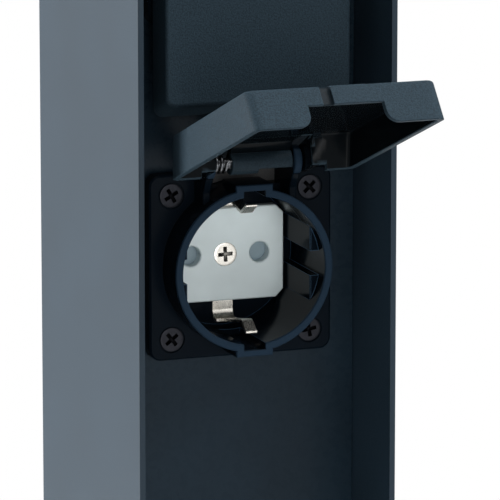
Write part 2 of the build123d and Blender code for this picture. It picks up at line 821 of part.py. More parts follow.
def tang_place():
    """Y and Z of the spring's tang in the barrel of a closed lid."""
    phase = math.radians(fixed_leg_phase - 360 * spring_turns_closed)
    y = hinge_y + spring_radius * math.cos(phase) + spring_bend_radius * math.sin(phase)
    z = hinge_z + spring_radius * math.sin(phase) - spring_bend_radius * math.cos(phase)
    return y, z


def lid_spring(name, open_angle):
    """The torsion spring: a bent leg on the flange's notch, a coil round the pin, a tang in the barrel."""
    turns = spring_turns_closed + open_angle / 360
    steps = math.ceil(turns * 4)
    step_phase = 360 * turns / steps
    climb = coil_length / (2 * math.pi * spring_radius * turns)
    phases = [fixed_leg_phase - step_phase * i for i in range(steps + 1)]
    places = [on_coil(p, spring_left_x + coil_length * i / steps) for i, p in enumerate(phases)]
    ways = []
    for i, phase in enumerate(phases):
        angle = math.radians(phase)
        rise = 0 if i in (0, steps) else climb
        ways.append(Vector(rise, math.sin(angle), -math.cos(angle)).normalized())
    edges = []
    for i in range(steps):
        edges += biarc(places[i], ways[i], places[i + 1], ways[i + 1])
    leg_y = flange_thickness / 2
    leg_foot = flange_notch_floor + spring_wire_radius + press_clearance
    leg_top = places[0].Z
    foot = Vector(spring_left_x, leg_y, leg_foot)
    knee = Vector(spring_left_x, leg_y, leg_top - spring_leg_bend)
    run = Vector(spring_left_x, leg_y - spring_leg_bend, leg_top)
    leg = [
        Edge.make_line(foot, knee),
        Edge.make_tangent_arc(knee, Vector(0, 0, 1), run),
        Edge.make_line(run, places[0]),
    ]
    tang_root = places[-1] + (ways[-1] + Vector(1, 0, 0)) * spring_bend_radius
    bend = Edge.make_tangent_arc(places[-1], ways[-1], tang_root)
    tang_end = Vector(barrel_left_x + spring_tang_length, tang_root.Y, tang_root.Z)
    path = Wire(leg + edges + [bend, Edge.make_line(tang_root, tang_end)])
    section = Plane(origin=foot, z_dir=(0, 0, 1)) * Circle(spring_wire_radius)
    print(f"{name} lid spring: {turns:.2f} turns, least gap to itself {least_gap(path):.2f} mm")
    return sweep(section, path=path)


def least_gap(path):
    """The least gap of a wound wire to itself, measured on points along its path."""
    count = 400
    points = [path @ (i / count) for i in range(count + 1)]
    apart = round(count * math.pi * spring_radius / path.length)
    gaps = [(points[i] - points[j]).length for i in range(count) for j in range(i + apart, count)]
    return min(gaps) - 2 * spring_wire_radius


def pole_places():
    """The X of each pole of the terminal block: live, earth, neutral and a second earth."""
    return [-pin_x, 0.0, pin_x, pin_pitch]


def block_screw_places():
    """The X of the two screws that hold the terminal block, between its poles."""
    return [-pin_x / 2, 3 * pin_x / 2]


def terminal_block():
    """The block that joins the incoming cable to the inner wires."""
    x0 = pole_places()[0] - terminal_side_wall
    x1 = pole_places()[-1] + terminal_side_wall
    body = block(x0, x1, panel_back_y, terminal_back_y, terminal_bottom, terminal_top)
    for x in pole_places():
        body -= rod_z(wire_hole_radius, terminal_bottom, terminal_bottom + terminal_hole_depth, x, pole_y)
        body -= rod_z(wire_hole_radius, terminal_top - terminal_hole_depth, terminal_top, x, pole_y)
    clamp_floor = terminal_back_y - terminal_clamp_length - press_clearance
    for x, z in clamp_places():
        body -= rod_y(terminal_clamp_radius + thread_clearance, clamp_floor, terminal_back_y, x, z)
    for x in block_screw_places():
        hole = screw_hole(block_screw, terminal_body_depth, slip_clearance)
        body -= facing_back(hole, x, terminal_back_y, terminal_height)
    return body


def clamp_places():
    """X and Z of the clamp screws of the terminal block, two for each pole."""
    inset = terminal_hole_depth / 2
    return [(x, z) for x in pole_places() for z in (terminal_bottom + inset, terminal_top - inset)]


def clamp_screws():
    """The slotted clamp screws of the terminal block."""
    screws = []
    top = terminal_back_y - press_clearance
    for i, (x, z) in enumerate(clamp_places()):
        body = rod_y(terminal_clamp_radius, terminal_back_y - terminal_clamp_length, top, x, z)
        slot = Box(4 * terminal_clamp_radius, 2 * slot_depth, slot_width)
        screws.append(body - Pos(x, top, z) * Rot(0, turn_step * i, 0) * slot)
    return screws


def block_screws():
    """The two screws through the terminal block into the panel."""
    places = enumerate(block_screw_places())
    turned = [(screw_solid(block_screw, turn_step * i), x) for i, x in places]
    return [facing_back(screw, x, terminal_back_y, terminal_height) for screw, x in turned]


def earth_stud():
    """The threaded stud on the back of the panel."""
    end = panel_back_y + earth_stud_length
    return rod_y(earth_stud_radius, panel_back_y, end, pin_pitch, earth_stud_height)


def earth_ring():
    """The ring terminal on the stud, with the barrel that holds its wire."""
    y0 = panel_back_y
    y1 = y0 + ring_thickness
    ring = rod_y(ring_radius, y0, y1, pin_pitch, earth_stud_height)
    barrel_y = y0 + wire_radius + ring_thickness
    barrel_top = earth_stud_height - ring_radius
    barrel_low = barrel_top - ring_barrel_length
    half = wire_radius
    ring += block(pin_pitch - half, pin_pitch + half, y0, y1, barrel_top, earth_stud_height - half)
    ring += rod_z(wire_radius + ring_thickness, barrel_low, barrel_top, pin_pitch, barrel_y)
    bore_top = barrel_low + ring_bore_depth
    ring -= rod_z(wire_radius + thread_clearance, barrel_low, bore_top, pin_pitch, barrel_y)
    return ring - rod_y(earth_stud_radius + slip_clearance, y0, y1, pin_pitch, earth_stud_height)


def earth_nut():
    """The hexagon nut that clamps the ring terminal."""
    y0 = panel_back_y + ring_thickness
    outline = RegularPolygon(nut_width / 2, 6, major_radius=False)
    outline -= Circle(earth_stud_radius + thread_clearance)
    return Pos(pin_pitch, 0, earth_stud_height) * plate_y(outline, y0, y0 + nut_height)


def wire_run(name, x, points, start_stub, end_stub):
    """An insulated wire: straight runs joined by arcs, and a bare conductor past each end."""
    path_points = [(x, y, z) for y, z in points]
    radii = []
    for i in range(1, len(path_points) - 1):
        before = Vector(path_points[i]) - Vector(path_points[i - 1])
        after = Vector(path_points[i + 1]) - Vector(path_points[i])
        turn = math.radians(before.get_angle(after))
        radii.append(arc_share * min(before.length, after.length) / math.tan(turn / 2))
    path = FilletPolyline(*path_points, radius=radii)
    print(f"{name} wire: least radius {min(radii):.1f} mm, length {path.length:.1f} mm")
    tube = sweep(Plane(origin=path_points[0], z_dir=(0, 0, 1)) * Circle(wire_radius), path=path)
    y0, z0 = points[0]
    y1, z1 = points[-1]
    tube += rod_z(conductor_radius, z0 - start_stub, z0, x, y0)
    return tube + rod_z(conductor_radius, z1, z1 + end_stub, x, y1)


def socket_wires(name, x, clamp_z):
    """The wires of one pole: terminal block to lower socket, and lower to upper socket."""
    y = flange_y + wire_y
    half = clamp_height / 2
    stub = half - running_clearance
    lower = socket_heights["lower"] + clamp_z
    upper = socket_heights["upper"] + clamp_z
    start = terminal_top + slip_clearance
    bend = socket_heights["lower"] - collar_radius - wire_cover_straight
    end = lower - half - slip_clearance
    first = [(pole_y, start), (pole_y, start + wire_start_straight), (y, bend), (y, end)]
    bow_low = socket_heights["lower"] + collar_radius + wire_bow_straight
    bow_high = socket_heights["upper"] - collar_radius - wire_bow_straight
    second = [
        (y, lower + half + slip_clearance),
        (y, bow_low),
        (y + wire_bow, (bow_low + bow_high) / 2),
        (y, bow_high),
        (y, upper - half - slip_clearance),
    ]
    stub_down = terminal_hole_depth - running_clearance
    return [
        wire_run(f"{name} lower", x, first, stub_down, stub),
        wire_run(f"{name} upper", x, second, stub, stub),
    ]


def bonding_wire():
    """The short earth wire from the terminal block to the ring terminal."""
    barrel_y = panel_back_y + wire_radius + ring_thickness
    start = terminal_top + slip_clearance
    end = earth_stud_height - ring_radius - ring_barrel_length
    straight = (end - start) / 3
    points = [(pole_y, start), (pole_y, start + straight), (barrel_y, end - straight), (barrel_y, end)]
    stub = ring_bore_depth - running_clearance
    return wire_run("bonding", pin_pitch, points, terminal_hole_depth - running_clearance, stub)


def on_post(item, height):
    """Moves a socket's piece, or pieces, from the socket's own frame to the post."""
    if isinstance(item, list):
        return [on_post(one, height) for one in item]
    return Pos(0, flange_y, height) * item


def socket_parts(name):
    """All pieces of one socket, by node name."""
    height = socket_heights[name]
    pieces = {
        "socket_housing": socket_housing(),
        "flange_seal": flange_seal(),
        "flange_screws": flange_screws(flange_screw_turns[name]),
        "contact_face": contact_face(),
        "centre_screw": facing_front(screw_solid(centre_screw, centre_screw_turn), 0, face_y, 0),
        "shutter": shutter(),
        "shutter_spring": shutter_spring(),
        "contact_carrier": contact_carrier(),
        "line_contacts": [line_contact(-1), line_contact(1)],
        "earth_clip": earth_clip(),
        "terminal_screws": terminal_screws(),
        "rear_cover": rear_cover(),
        "lid": lid(lid_rest_angles[name]),
        "hinge_pin": hinge_pin(),
        "lid_spring": lid_spring(name, lid_rest_angles[name]),
    }
    return {f"{name}_{piece}": on_post(shape, height) for piece, shape in pieces.items()}


def post_parts():
    """All pieces of the post itself, by node name."""
    return {
        "post_shell": post_shell(),
        "socket_panel": socket_panel(),
        "panel_screws": panel_screws(),
        "base_plate": base_plate(),
        "base_screws": base_screws(),
        "cable_grommet": cable_grommet(),
        "top_cap": top_cap(),
        "cap_screws": cap_screws(),
        "terminal_block": terminal_block(),
        "clamp_screws": clamp_screws(),
        "block_screws": block_screws(),
        "earth_stud": earth_stud(),
        "earth_ring": earth_ring(),
        "earth_nut": earth_nut(),
        "live_wires": socket_wires("live", -pin_x, 0),
        "neutral_wires": socket_wires("neutral", pin_x, 0),
        "earth_wires": socket_wires("earth", 0, earth_clamp_height) + [bonding_wire()],
    }


def write_part(name, shape):
    """Writes one node: a single solid, or a group of separate solids."""
    solids = shape if isinstance(shape, list) else [shape]
    solids = [solid for one in solids for solid in one.solids()]
    whole = solids[0] if len(solids) == 1 else Compound(children=solids)
    export_step(whole, f"parts/{name}.step")


os.makedirs("parts", exist_ok=True)
nodes = post_parts()
for socket_name in socket_heights:
    nodes.update(socket_parts(socket_name))
for node_name, node_shape in nodes.items():
    write_part(node_name, node_shape)
print(f"{len(nodes)} nodes written")
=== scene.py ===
import json
import math

import bmesh
import bpy
import numpy as np
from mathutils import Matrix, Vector


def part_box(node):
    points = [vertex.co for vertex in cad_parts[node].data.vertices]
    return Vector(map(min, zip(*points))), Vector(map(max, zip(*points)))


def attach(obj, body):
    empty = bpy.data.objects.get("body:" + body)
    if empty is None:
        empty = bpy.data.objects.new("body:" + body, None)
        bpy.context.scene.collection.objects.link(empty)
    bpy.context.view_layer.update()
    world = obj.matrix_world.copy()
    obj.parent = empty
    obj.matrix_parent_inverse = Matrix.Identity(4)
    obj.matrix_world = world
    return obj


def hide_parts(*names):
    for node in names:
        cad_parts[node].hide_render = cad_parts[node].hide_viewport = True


bl_info = {
    "name": "Outdoor socket post",
    "version": (1, 0, 0),
    "blender": (4, 5, 0),
    "location": "View3D > Sidebar > Socket post",
    "description": "Dresses the outdoor socket post: lids, screws, springs, finishes and studio",
    "category": "Object",
}

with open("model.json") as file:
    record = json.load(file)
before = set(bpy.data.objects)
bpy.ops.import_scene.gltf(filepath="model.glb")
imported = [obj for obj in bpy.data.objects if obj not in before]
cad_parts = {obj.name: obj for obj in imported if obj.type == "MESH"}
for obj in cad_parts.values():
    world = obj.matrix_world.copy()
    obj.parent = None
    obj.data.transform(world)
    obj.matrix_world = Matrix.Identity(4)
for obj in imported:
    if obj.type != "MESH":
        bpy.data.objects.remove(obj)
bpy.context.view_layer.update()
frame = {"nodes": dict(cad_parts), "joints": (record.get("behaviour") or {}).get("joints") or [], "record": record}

SOCKETS = ("lower", "upper")
MM = 0.001
MERGE_DISTANCE = 0.0005 * MM  # points nearer than this become one
LEAST_RADIUS = 0.01 * MM  # the smallest ring, at a screw's middle and tip
LEAST_CORNER = 0.3 * MM  # the smallest corner radius of the lid's inner rows
HALF_PAIR = 0.015 * MM  # half the distance between the two columns at a step of the lid's wall
COIL_STEP = 7.0  # about how many degrees lie between two points of a coil
FLAT_FACE = 1.3  # where a flat face's first row lies, as a share of the rounding at its rim


def length(name, description, millimetres):
    """A length property whose default is given in millimetres."""
    return bpy.props.FloatProperty(
        name=name, description=description, default=millimetres * MM, unit="LENGTH", subtype="DISTANCE"
    )


def angle(name, description, degrees):
    """An angle property whose default is given in degrees."""
    return bpy.props.FloatProperty(
        name=name, description=description, default=math.radians(degrees), unit="ROTATION", subtype="ANGLE"
    )


def screw_kind(name, *millimetres):
    """The four lengths of one kind of screw, given in millimetres."""
    description = "Radius of the head, radius of the shank, height of the head and whole length"
    default = [value * MM for value in millimetres]
    return bpy.props.FloatVectorProperty(
        name=name, description=description, default=default, size=4, unit="LENGTH"
    )


def share(name, description, default):
    """A plain number property."""
    return bpy.props.FloatProperty(name=name, description=description, default=default)


def linear(code):
    """A colour written as sRGB hex, turned to linear red, green, blue and alpha."""
    values = [int(code[i : i + 2], 16) / 255 for i in (1, 3, 5)]
    return [v / 12.92 if v <= 0.04045 else ((v + 0.055) / 1.055) ** 2.4 for v in values] + [1.0]


def colour(name, description, code):
    """A colour property whose default is given as sRGB hex."""
    return bpy.props.FloatVectorProperty(
        name=name, description=description, default=linear(code), size=4, subtype="COLOR", min=0.0, max=1.0
    )


class LidSizes(bpy.types.PropertyGroup):
    """Sizes of a hinged lid, measured on the closed lid in its socket's frame."""

    width: length("Width", "Width of the lid", 50.0)
    depth: length("Depth", "Depth of the lid from its front to its open edge", 10.7)
    wall: length("Wall", "Thickness of the lid's plate and walls", 1.8)
    bevel: length("Front edge", "Radius of the rounded edge round the plate", 0.8)
    corner: length("Corner", "Radius of the lid's four corners", 2.8)
    edge: length("Open edge", "Rounding of the open edge of the walls", 0.25)
    inner_fillet: length("Inner fillet", "Fillet between the plate and the walls inside", 0.6)
    plate_inset: length("Plate inset", "Where the flat of the plate starts, from its outline", 2.2)
    front: length("Front plane", "How far the lid's front stands before the flange", 13.75)
    free_end: length("Free end", "How far the free end lies below the socket's axis", 43.4)
    hinge_end: length("Hinge end", "How far the hinge end lies above the socket's axis", 16.2)
    flare: length("Flare", "How far both ends slant out from front to open edge", 4.4)
    notch_width: length("Notch width", "Width of the cable notch", 19.9)
    notch_height: length("Notch height", "Height of the cable notch", 5.6)
    notch_rounding: length("Notch rounding", "Rounding of the notch at the open edge", 3.0)
    groove_left: length("Groove place", "X of the left side of the moulded groove", -5.8)
    groove_width: length("Groove width", "Width of the moulded groove", 2.7)
    groove_depth: length("Groove depth", "Depth of the moulded groove", 0.9)
    groove_polish: share("Groove polish", "How polished and dark the groove is, from 0 to 1", 0.72)
    pad_right: length("Pad place", "X of the right side of the moulded pad", 6.3)
    pad_height: length("Pad height", "How far the pad stands out", 0.5)
    trim_depth: length("Trim depth", "How much lower the wall is at the hinge end", 1.5)
    trim_half: length("Trim reach", "Half width of the lower wall at the hinge end", 17.0)
    collar_room: length("Room for the collar", "Radius kept free round the collar", 22.0)
    collar_plane: length("Collar plane", "How far the free room reaches before the flange", 11.4)


class HingeSizes(bpy.types.PropertyGroup):
    """Sizes of the hinge, in the socket's frame, with angles from the back over the top."""

    axis_out: length("Axis out", "How far the hinge axis stands before the flange", 7.8)
    axis_up: length("Axis up", "How far the hinge axis lies above the socket's axis", 28.0)
    lug_inner: length("Lug inner face", "X of the inner face of a lug", 13.1)
    lug_thickness: length("Lug thickness", "Thickness of a lug", 2.0)
    lug_radius: length("Lug radius", "Radius of a lug's round eye", 3.4)
    lug_end: angle("Lug eye", "Where the arc of a lug's eye ends", 170.0)
    barrel_radius: length("Barrel radius", "Radius of the lid's barrel", 3.0)
    barrel_polish: share("Barrel polish", "How polished and dark the barrel is, from 0 to 1", 0.3)
    barrel_left: length("Barrel left", "X of the barrel's left end", -6.0)
    barrel_right: length("Barrel right", "X of the barrel's right end", 10.5)
    relief_left: length("Relief left", "X where the barrel's flat relief starts", 1.3)
    relief_drop: length("Relief drop", "Distance of the flat relief from the axis", 1.4)
    knee: length("Knee", "Height of the arm's knee above the socket's axis", 23.3)
    arm_reach: share("Arm reach", "Where the arm ends, as a share of the barrel's radius", 0.97)
    arm_inner: angle("Arm inside", "Where the arm's inner side meets the barrel", 225.0)
    arm_outer: angle("Arm outside", "Where the arm's outer side meets the barrel", 108.0)
    edge: length("Edge", "Rounding of the edges of lugs and barrel", 0.3)
    pin_radius: length("Pin radius", "Radius of the hinge pin", 1.5)
    pin_length: length("Pin length", "Length of the hinge pin", 30.6)
    wire_radius: length("Wire radius", "Radius of the spring's wire", 0.4)
    coil_radius: length("Coil radius", "Radius of the spring's coil", 2.1)
    coil_left: length("Coil left", "X of the coil's left end", -10.3)
    coil_right: length("Coil right", "X of the coil's right end", -7.3)
    bend_radius: length("Tang bend", "Radius of the bend into the tang", 0.9)
    tang_length: length("Tang length", "How deep the tang sits in the barrel", 1.2)
    tang_overlap: angle("Tang overlap", "How far the moving end reaches back inside the coil", 118.0)
    tang_share: share("Tang radius", "Radius of the moving end, as a share of the wire's radius", 0.93)
    turns: share("Turns", "Turns of the coil while the lid is closed", 1.95)
    coil_start: angle("Coil start", "Where the coil starts", 270.0)
    leg_back: length("Leg place", "How far behind the flange's front the leg stands", 2.1)
    leg_foot: length("Leg foot", "Height of the leg's foot above the socket's axis", 21.1)
    leg_bend: length("Leg bend", "Radius of the leg's bend", 1.2)


class ScrewSizes(bpy.types.PropertyGroup):
    """The kinds of cross-recess screw, and what they share."""

    flange: screw_kind("Flange screw", 3.15, 1.95, 1.9, 13.0)
    centre: screw_kind("Centre screw", 3.15, 1.5, 1.5, 14.5)
    panel: screw_kind("Panel screw", 3.6, 1.9, 1.7, 7.5)
    plate: screw_kind("Cap and base screw", 4.4, 2.4, 2.2, 16.0)
    reach: share("Recess reach", "Reach of the recess, as a share of the head's radius", 0.62)
    width: share("Recess width", "Width of an arm of the recess, as a share of the head's radius", 0.30)
    depth: share("Recess depth", "Depth of the recess, as a share of the head's height", 0.75)
    rise: share("Recess rise", "How much shallower the arms end than they start", 0.55)
    slope: length("Recess wall", "Width over which an arm's side falls, and half that of its end", 0.06)
    hub: share("Recess middle", "Radius of the recess's middle, as a share of an arm's half width", 1.35)
    edge: length("Head edge", "Rounding of the head's rim", 0.12)
    thread_pitch: length("Thread pitch", "Distance from one thread to the next", 1.2)
    thread_depth: length("Thread depth", "Depth of the thread", 0.28)


class FinishColours(bpy.types.PropertyGroup):
    """The base colour of each finish."""

    coat: colour("Powder coat", "Anthracite coat of the aluminium", "#22303b")
    panel: colour("Panel", "Smooth black coat of the socket panel", "#15212a")
    housing: colour("Housing", "Black of the socket housings", "#070e15")
    lid: colour("Lid", "Anthracite of the lids", "#222e36")
    face: colour("Contact face", "Light grey of the contact faces", "#d6e3e5")
    shutter: colour("Shutter", "Blue-grey of the shutters", "#7d9099")
    rubber: colour("Rubber", "Black of seals and grommet", "#111214")
    nickel: colour("Nickel", "Bright nickel plate", "#cfccc4")
    black_steel: colour("Black steel", "Black passivated screws", "#232428")
    zinc: colour("Zinc", "Zinc plate", "#b4b8bb")
    spring: colour("Spring steel", "Bright drawn steel", "#5b5d60")
    brass: colour("Brass", "Plain brass", "#c9a45c")
    terminal: colour("Terminal block", "Light grey of the terminal block", "#c6cac9")
    live: colour("Live wire", "Brown insulation", "#5a2f1a")
    neutral: colour("Neutral wire", "Blue insulation", "#1d4f9e")
    earth: colour("Earth wire", "Green of the earth insulation", "#2f7d34")
    earth_stripe: colour("Earth stripe", "Yellow of the earth insulation", "#d9c42a")
    floor: colour("Floor", "Pale studio floor", "#f2f2f1")


class StageSettings(bpy.types.PropertyGroup):
    """The camera and the studio light."""

    yaw: angle("Yaw", "How far the camera stands to the left of the front", 19.77)
    pitch: angle("Pitch", "How far the camera looks down", 11.58)
    distance: length("Distance", "From the camera to the point it looks at", 1272.5)
    aim_right: length("Aim right", "The point looked at, right of the lower socket's axis", 2.54)
    aim_up: length("Aim up", "The point looked at, above the lower socket's axis", 3.27)
    lens: share("Lens", "Focal length in millimetres for a 36 mm sensor", 352.2)
    front_power: share("Front light", "Watts of the soft light in front, left of the middle", 3.9)
    front_low_power: share("Low front light", "Watts of the soft light low in front", 6.0)
    top_power: share("Top light", "Watts of the soft light above", 15.0)
    back_top_power: share("Back top light", "Watts of the soft light above the back", 15.0)
    right_power: share("Right light", "Watts of the soft light at the right of the front", 8.7)
    right_top_power: share("Right top light", "Watts of the soft light above the right side", 15.0)
    left_power: share("Left light", "Watts of the soft light at the left of the back", 40.0)
    lamp_size: length("Lamp size", "Side of each square lamp", 800.0)
    front_lamp_size: length("Front lamp size", "Side of the two square lamps in front", 700.0)
    ambient: share("Ambient", "Strength of the room's light on the object", 0.10)
    floor_radius: length("Floor radius", "Radius of the pale floor", 900.0)


def socket_origin(name):
    """The socket's axis in the front plane of its flange, in metres."""
    low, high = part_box(f"{name}_flange_seal")
    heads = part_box(f"{name}_flange_screws")[0]
    return np.array([(low.x + high.x) / 2, heads.y, (low.z + high.z) / 2])


def lid_range(name):
    """The lid's joint range from its rest position, in radians: towards closed, then towards open."""
    joint = next(joint for joint in frame["joints"] if joint["name"] == f"{name}_lid_hinge")
    return math.radians(min(joint["range_deg"])), math.radians(max(joint["range_deg"]))


def lid_rest_angle(name):
    """How far the lid stands open at rest: the joint's way back to its closed limit."""
    return -lid_range(name)[0]


def lid_travel(name):
    """How far the lid turns from closed to open."""
    closing, opening = lid_range(name)
    return opening - closing


def turned_about_x(points, centre_y, centre_z, turn):
    """Points turned about an axis along X, from +Y towards +Z."""
    y = points[..., 1] - centre_y
    z = points[..., 2] - centre_z
    cos, sin = math.cos(turn), math.sin(turn)
    turned_y = centre_y + cos * y - sin * z
    turned_z = centre_z + sin * y + cos * z
    return np.stack([points[..., 0], turned_y, turned_z], axis=-1)


def quarter_turn(count):
    """Angles from 0 to a quarter turn, in radians."""
    return np.linspace(0, math.pi / 2, count)


def full_turn(count):
    """Angles once round a circle, in radians."""
    return np.linspace(0, 2 * math.pi, count, endpoint=False)


def grid_surface(points):
    """A grid whose rows are closed loops: quads from row to row, and one face over each end."""
    rows, columns = points.shape[:2]
    index = np.arange(rows * columns).reshape(rows, columns)
    beside = np.roll(index, -1, axis=1)
    quads = np.stack([index[:-1], beside[:-1], beside[1:], index[1:]], axis=-1).reshape(-1, 4)
    return points.reshape(-1, 3), quads.tolist() + [index[0, ::-1].tolist(), index[-1].tolist()]


def inset_loop(loop, distance):
    """A closed outline moved inwards: each point shifts along the mitre of its two sides."""
    before = loop - np.roll(loop, 1, axis=0)
    after = np.roll(loop, -1, axis=0) - loop
    before = before / np.linalg.norm(before, axis=1, keepdims=True)
    after = after / np.linalg.norm(after, axis=1, keepdims=True)
    inward_before = np.stack([-before[:, 1], before[:, 0]], axis=1)
    inward_after = np.stack([-after[:, 1], after[:, 0]], axis=1)
    mitre = inward_before + inward_after
    least_share = 0.3
    mitre /= np.maximum(np.sum(mitre * inward_before, axis=1, keepdims=True), least_share)
    return loop + mitre * distance


def rounded_plate(outline, low, high, edge, steps=4):
    """A plate over an outline that runs anticlockwise, with rounded edges on both faces.

    Row by row, the outline is moved inwards by edge times one minus the sine of an angle, and
    raised by edge times one minus its cosine, which is a quarter circle at each face. One more
    row just inside each face keeps the face flat. Columns are a, b across and c through.
    """
    turn = quarter_turn(steps + 1)
    insets = np.concatenate([[edge * FLAT_FACE], edge * (1 - np.sin(turn))])
    levels = np.concatenate([[0.0], edge * (1 - np.cos(turn))])
    rows = [(inset, low + level) for inset, level in zip(insets, levels)]
    rows += [(inset, high - level) for inset, level in zip(insets[::-1], levels[::-1])]
    grid = [np.column_stack([inset_loop(outline, inset), np.full(len(outline), c)]) for inset, c in rows]
    return np.array(grid)


def tube(path, radius, sides=14, rings=5):
    """A round wire along a path with domed ends.

    Each row is a circle square to the path, and its start is carried along the path without a
    twist. At each end the rings of the dome shrink as a quarter circle.
    """
    tangent = np.gradient(path, axis=0)
    tangent /= np.linalg.norm(tangent, axis=1, keepdims=True)
    cap = quarter_turn(rings + 1)[1:]
    start = path[0] - tangent[0] * radius * np.sin(cap[::-1])[:, None]
    end = path[-1] + tangent[-1] * radius * np.sin(cap)[:, None]
    centres = np.concatenate([start, path, end])
    radii = np.concatenate([radius * np.cos(cap[::-1]), np.full(len(path), radius), radius * np.cos(cap)])
    ways = np.concatenate([np.repeat(tangent[:1], rings, 0), tangent, np.repeat(tangent[-1:], rings, 0)])
    aslant, least_share = (0.0, 0.6, 0.8), 0.02
    across = [np.cross(ways[0], aslant)]
    for way in ways[1:]:
        across.append(across[-1] - way * np.dot(across[-1], way))
        across[-1] /= np.linalg.norm(across[-1])
    across[0] = across[1]
    side = np.array(across)
    up = np.cross(ways, side)
    turn = full_turn(sides)
    ring = side[:, None] * np.cos(turn)[None, :, None] + up[:, None] * np.sin(turn)[None, :, None]
    return centres[:, None] + ring * np.maximum(radii, radius * least_share)[:, None, None]


def add_object(name, data):
    """An object of a mesh, a lamp or a camera, placed in the scene."""
    thing = bpy.data.objects.new(name, data)
    bpy.context.scene.collection.objects.link(thing)
    return thing


def build_piece(name, surfaces, body, slot, nodes, mask_name="", masks=(), sharp_degrees=35.0):
    """One object from several closed surfaces: merged, turned outwards, shaded, riding on its body.

    A mask gives each point a number from 0 to 1 that the finish reads under the mask's name.
    """
    points, faces, start = [], [], 0
    for surface_points, surface_faces in surfaces:
        faces += [[index + start for index in face] for face in surface_faces]
        points.append(surface_points)
        start += len(surface_points)
    mesh = bpy.data.meshes.new(name)
    mesh.from_pydata(np.concatenate(points), [], faces)
    if mask_name:
        layer = mesh.attributes.new(mask_name, "FLOAT", "POINT")
        layer.data.foreach_set("value", np.concatenate(masks).astype(np.float32))
    shell = bmesh.new()
    shell.from_mesh(mesh)
    bmesh.ops.remove_doubles(shell, verts=shell.verts, dist=MERGE_DISTANCE)
    bmesh.ops.recalc_face_normals(shell, faces=shell.faces)
    shell.to_mesh(mesh)
    shell.free()
    mesh.shade_smooth()
    mesh.set_sharp_from_angle(angle=math.radians(sharp_degrees))
    mesh.materials.append(material_of(slot))
    piece = add_object(name, mesh)
    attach(piece, body)
    if nodes:
        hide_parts(*nodes)
    return piece


def add_node(material, kind, inputs=(), **settings):
    """Adds a node with its settings, and gives each named input a value or a link."""
    tree = material.node_tree
    node = tree.nodes.new(kind)
    for name, value in settings.items():
        setattr(node, name, value)
    for name, value in dict(inputs).items():
        if isinstance(value, bpy.types.NodeSocket):
            tree.links.new(value, node.inputs[name])
        else:
            node.inputs[name].default_value = value
    return node


def new_material(name):
    """An empty node material."""
    material = bpy.data.materials.new(name)
    material.use_nodes = True
    material.node_tree.nodes.clear()
    return material


def noise(material, coordinates, millimetres, detail=2.0, roughness=0.5):
    """A noise with a grain of that size on the given coordinates: its value from 0 to 1."""
    inputs = {
        "Vector": coordinates,
        "Scale": 1.0 / (millimetres * MM),
        "Detail": detail,
        "Roughness": roughness,
    }
    return add_node(material, "ShaderNodeTexNoise", inputs).outputs["Fac"]


def ranged(material, value, low, high, from_low=0.3, from_high=0.7):
    """A value spread from one range, at first a noise's usual one, to another, and held inside it."""
    inputs = {"Value": value, "From Min": from_low, "From Max": from_high, "To Min": low, "To Max": high}
    return add_node(material, "ShaderNodeMapRange", inputs).outputs["Result"]


def mixed(material, share_of_second, first, second):
    """A colour between two colours."""
    inputs = {"Factor": share_of_second, "A": first, "B": second}
    node = add_node(material, "ShaderNodeMix", data_type="RGBA")
    for name, value in inputs.items():
        sockets = [s for s in node.inputs if s.name == name and s.enabled]
        if isinstance(value, bpy.types.NodeSocket):
            material.node_tree.links.new(value, sockets[0])
        else:
            sockets[0].default_value = value
    return next(s for s in node.outputs if s.enabled)


def calculated(material, operation, first, second=0.0):
    """The result of one sum."""
    node = add_node(material, "ShaderNodeMath", {0: first, 1: second}, operation=operation)
    return node.outputs[0]


def scaled(base, factor):
    """A colour made lighter or darker."""
    return [min(1.0, value * factor) for value in base[:3]] + [1.0]


def toned(material, value, base, low, high, from_low=0.3, from_high=0.7):
    """A base colour that a value turns from its darker to its lighter tone."""
    share_of_high = ranged(material, value, 0.0, 1.0, from_low, from_high)
    return mixed(material, share_of_high, scaled(base, low), scaled(base, high))


def attribute(material, name):
    """The number that a mesh attribute gives each point."""
    return add_node(material, "ShaderNodeAttribute", attribute_name=name).outputs["Fac"]


def along_axis(material, place, axis):
    """One coordinate of a place."""
    return add_node(material, "ShaderNodeSeparateXYZ", {0: place}).outputs[axis]


def seen_directly(material):
    """1 for what the camera, a mirror or a clear body sees, and 0 for light on a surface."""
    rays = add_node(material, "ShaderNodeLightPath").outputs
    seen = calculated(material, "MAXIMUM", rays["Is Camera Ray"], rays["Is Glossy Ray"])
    return calculated(material, "MAXIMUM", seen, rays["Is Transmission Ray"])


def softened(material, radius):
    """The normal with every edge rounded by a radius in millimetres."""
    return add_node(material, "ShaderNodeBevel", {"Radius": radius * MM}, samples=4).outputs[0]


def distance(material, place):
    """How far a place lies from the origin."""
    return add_node(material, "ShaderNodeVectorMath", {0: place}, operation="LENGTH").outputs["Value"]


def edge_mask(material, radius):
    """From 0 on a flat face to 1 on a worn edge: how far the softened normal leaves the true one."""
    true = add_node(material, "ShaderNodeNewGeometry").outputs["True Normal"]
    inputs = {0: softened(material, radius), 1: true}
    likeness = add_node(material, "ShaderNodeVectorMath", inputs, operation="DOT_PRODUCT").outputs["Value"]
    on_edge, on_flat = 0.72, 0.98
    return ranged(material, likeness, 1.0, 0.0, on_edge, on_flat)


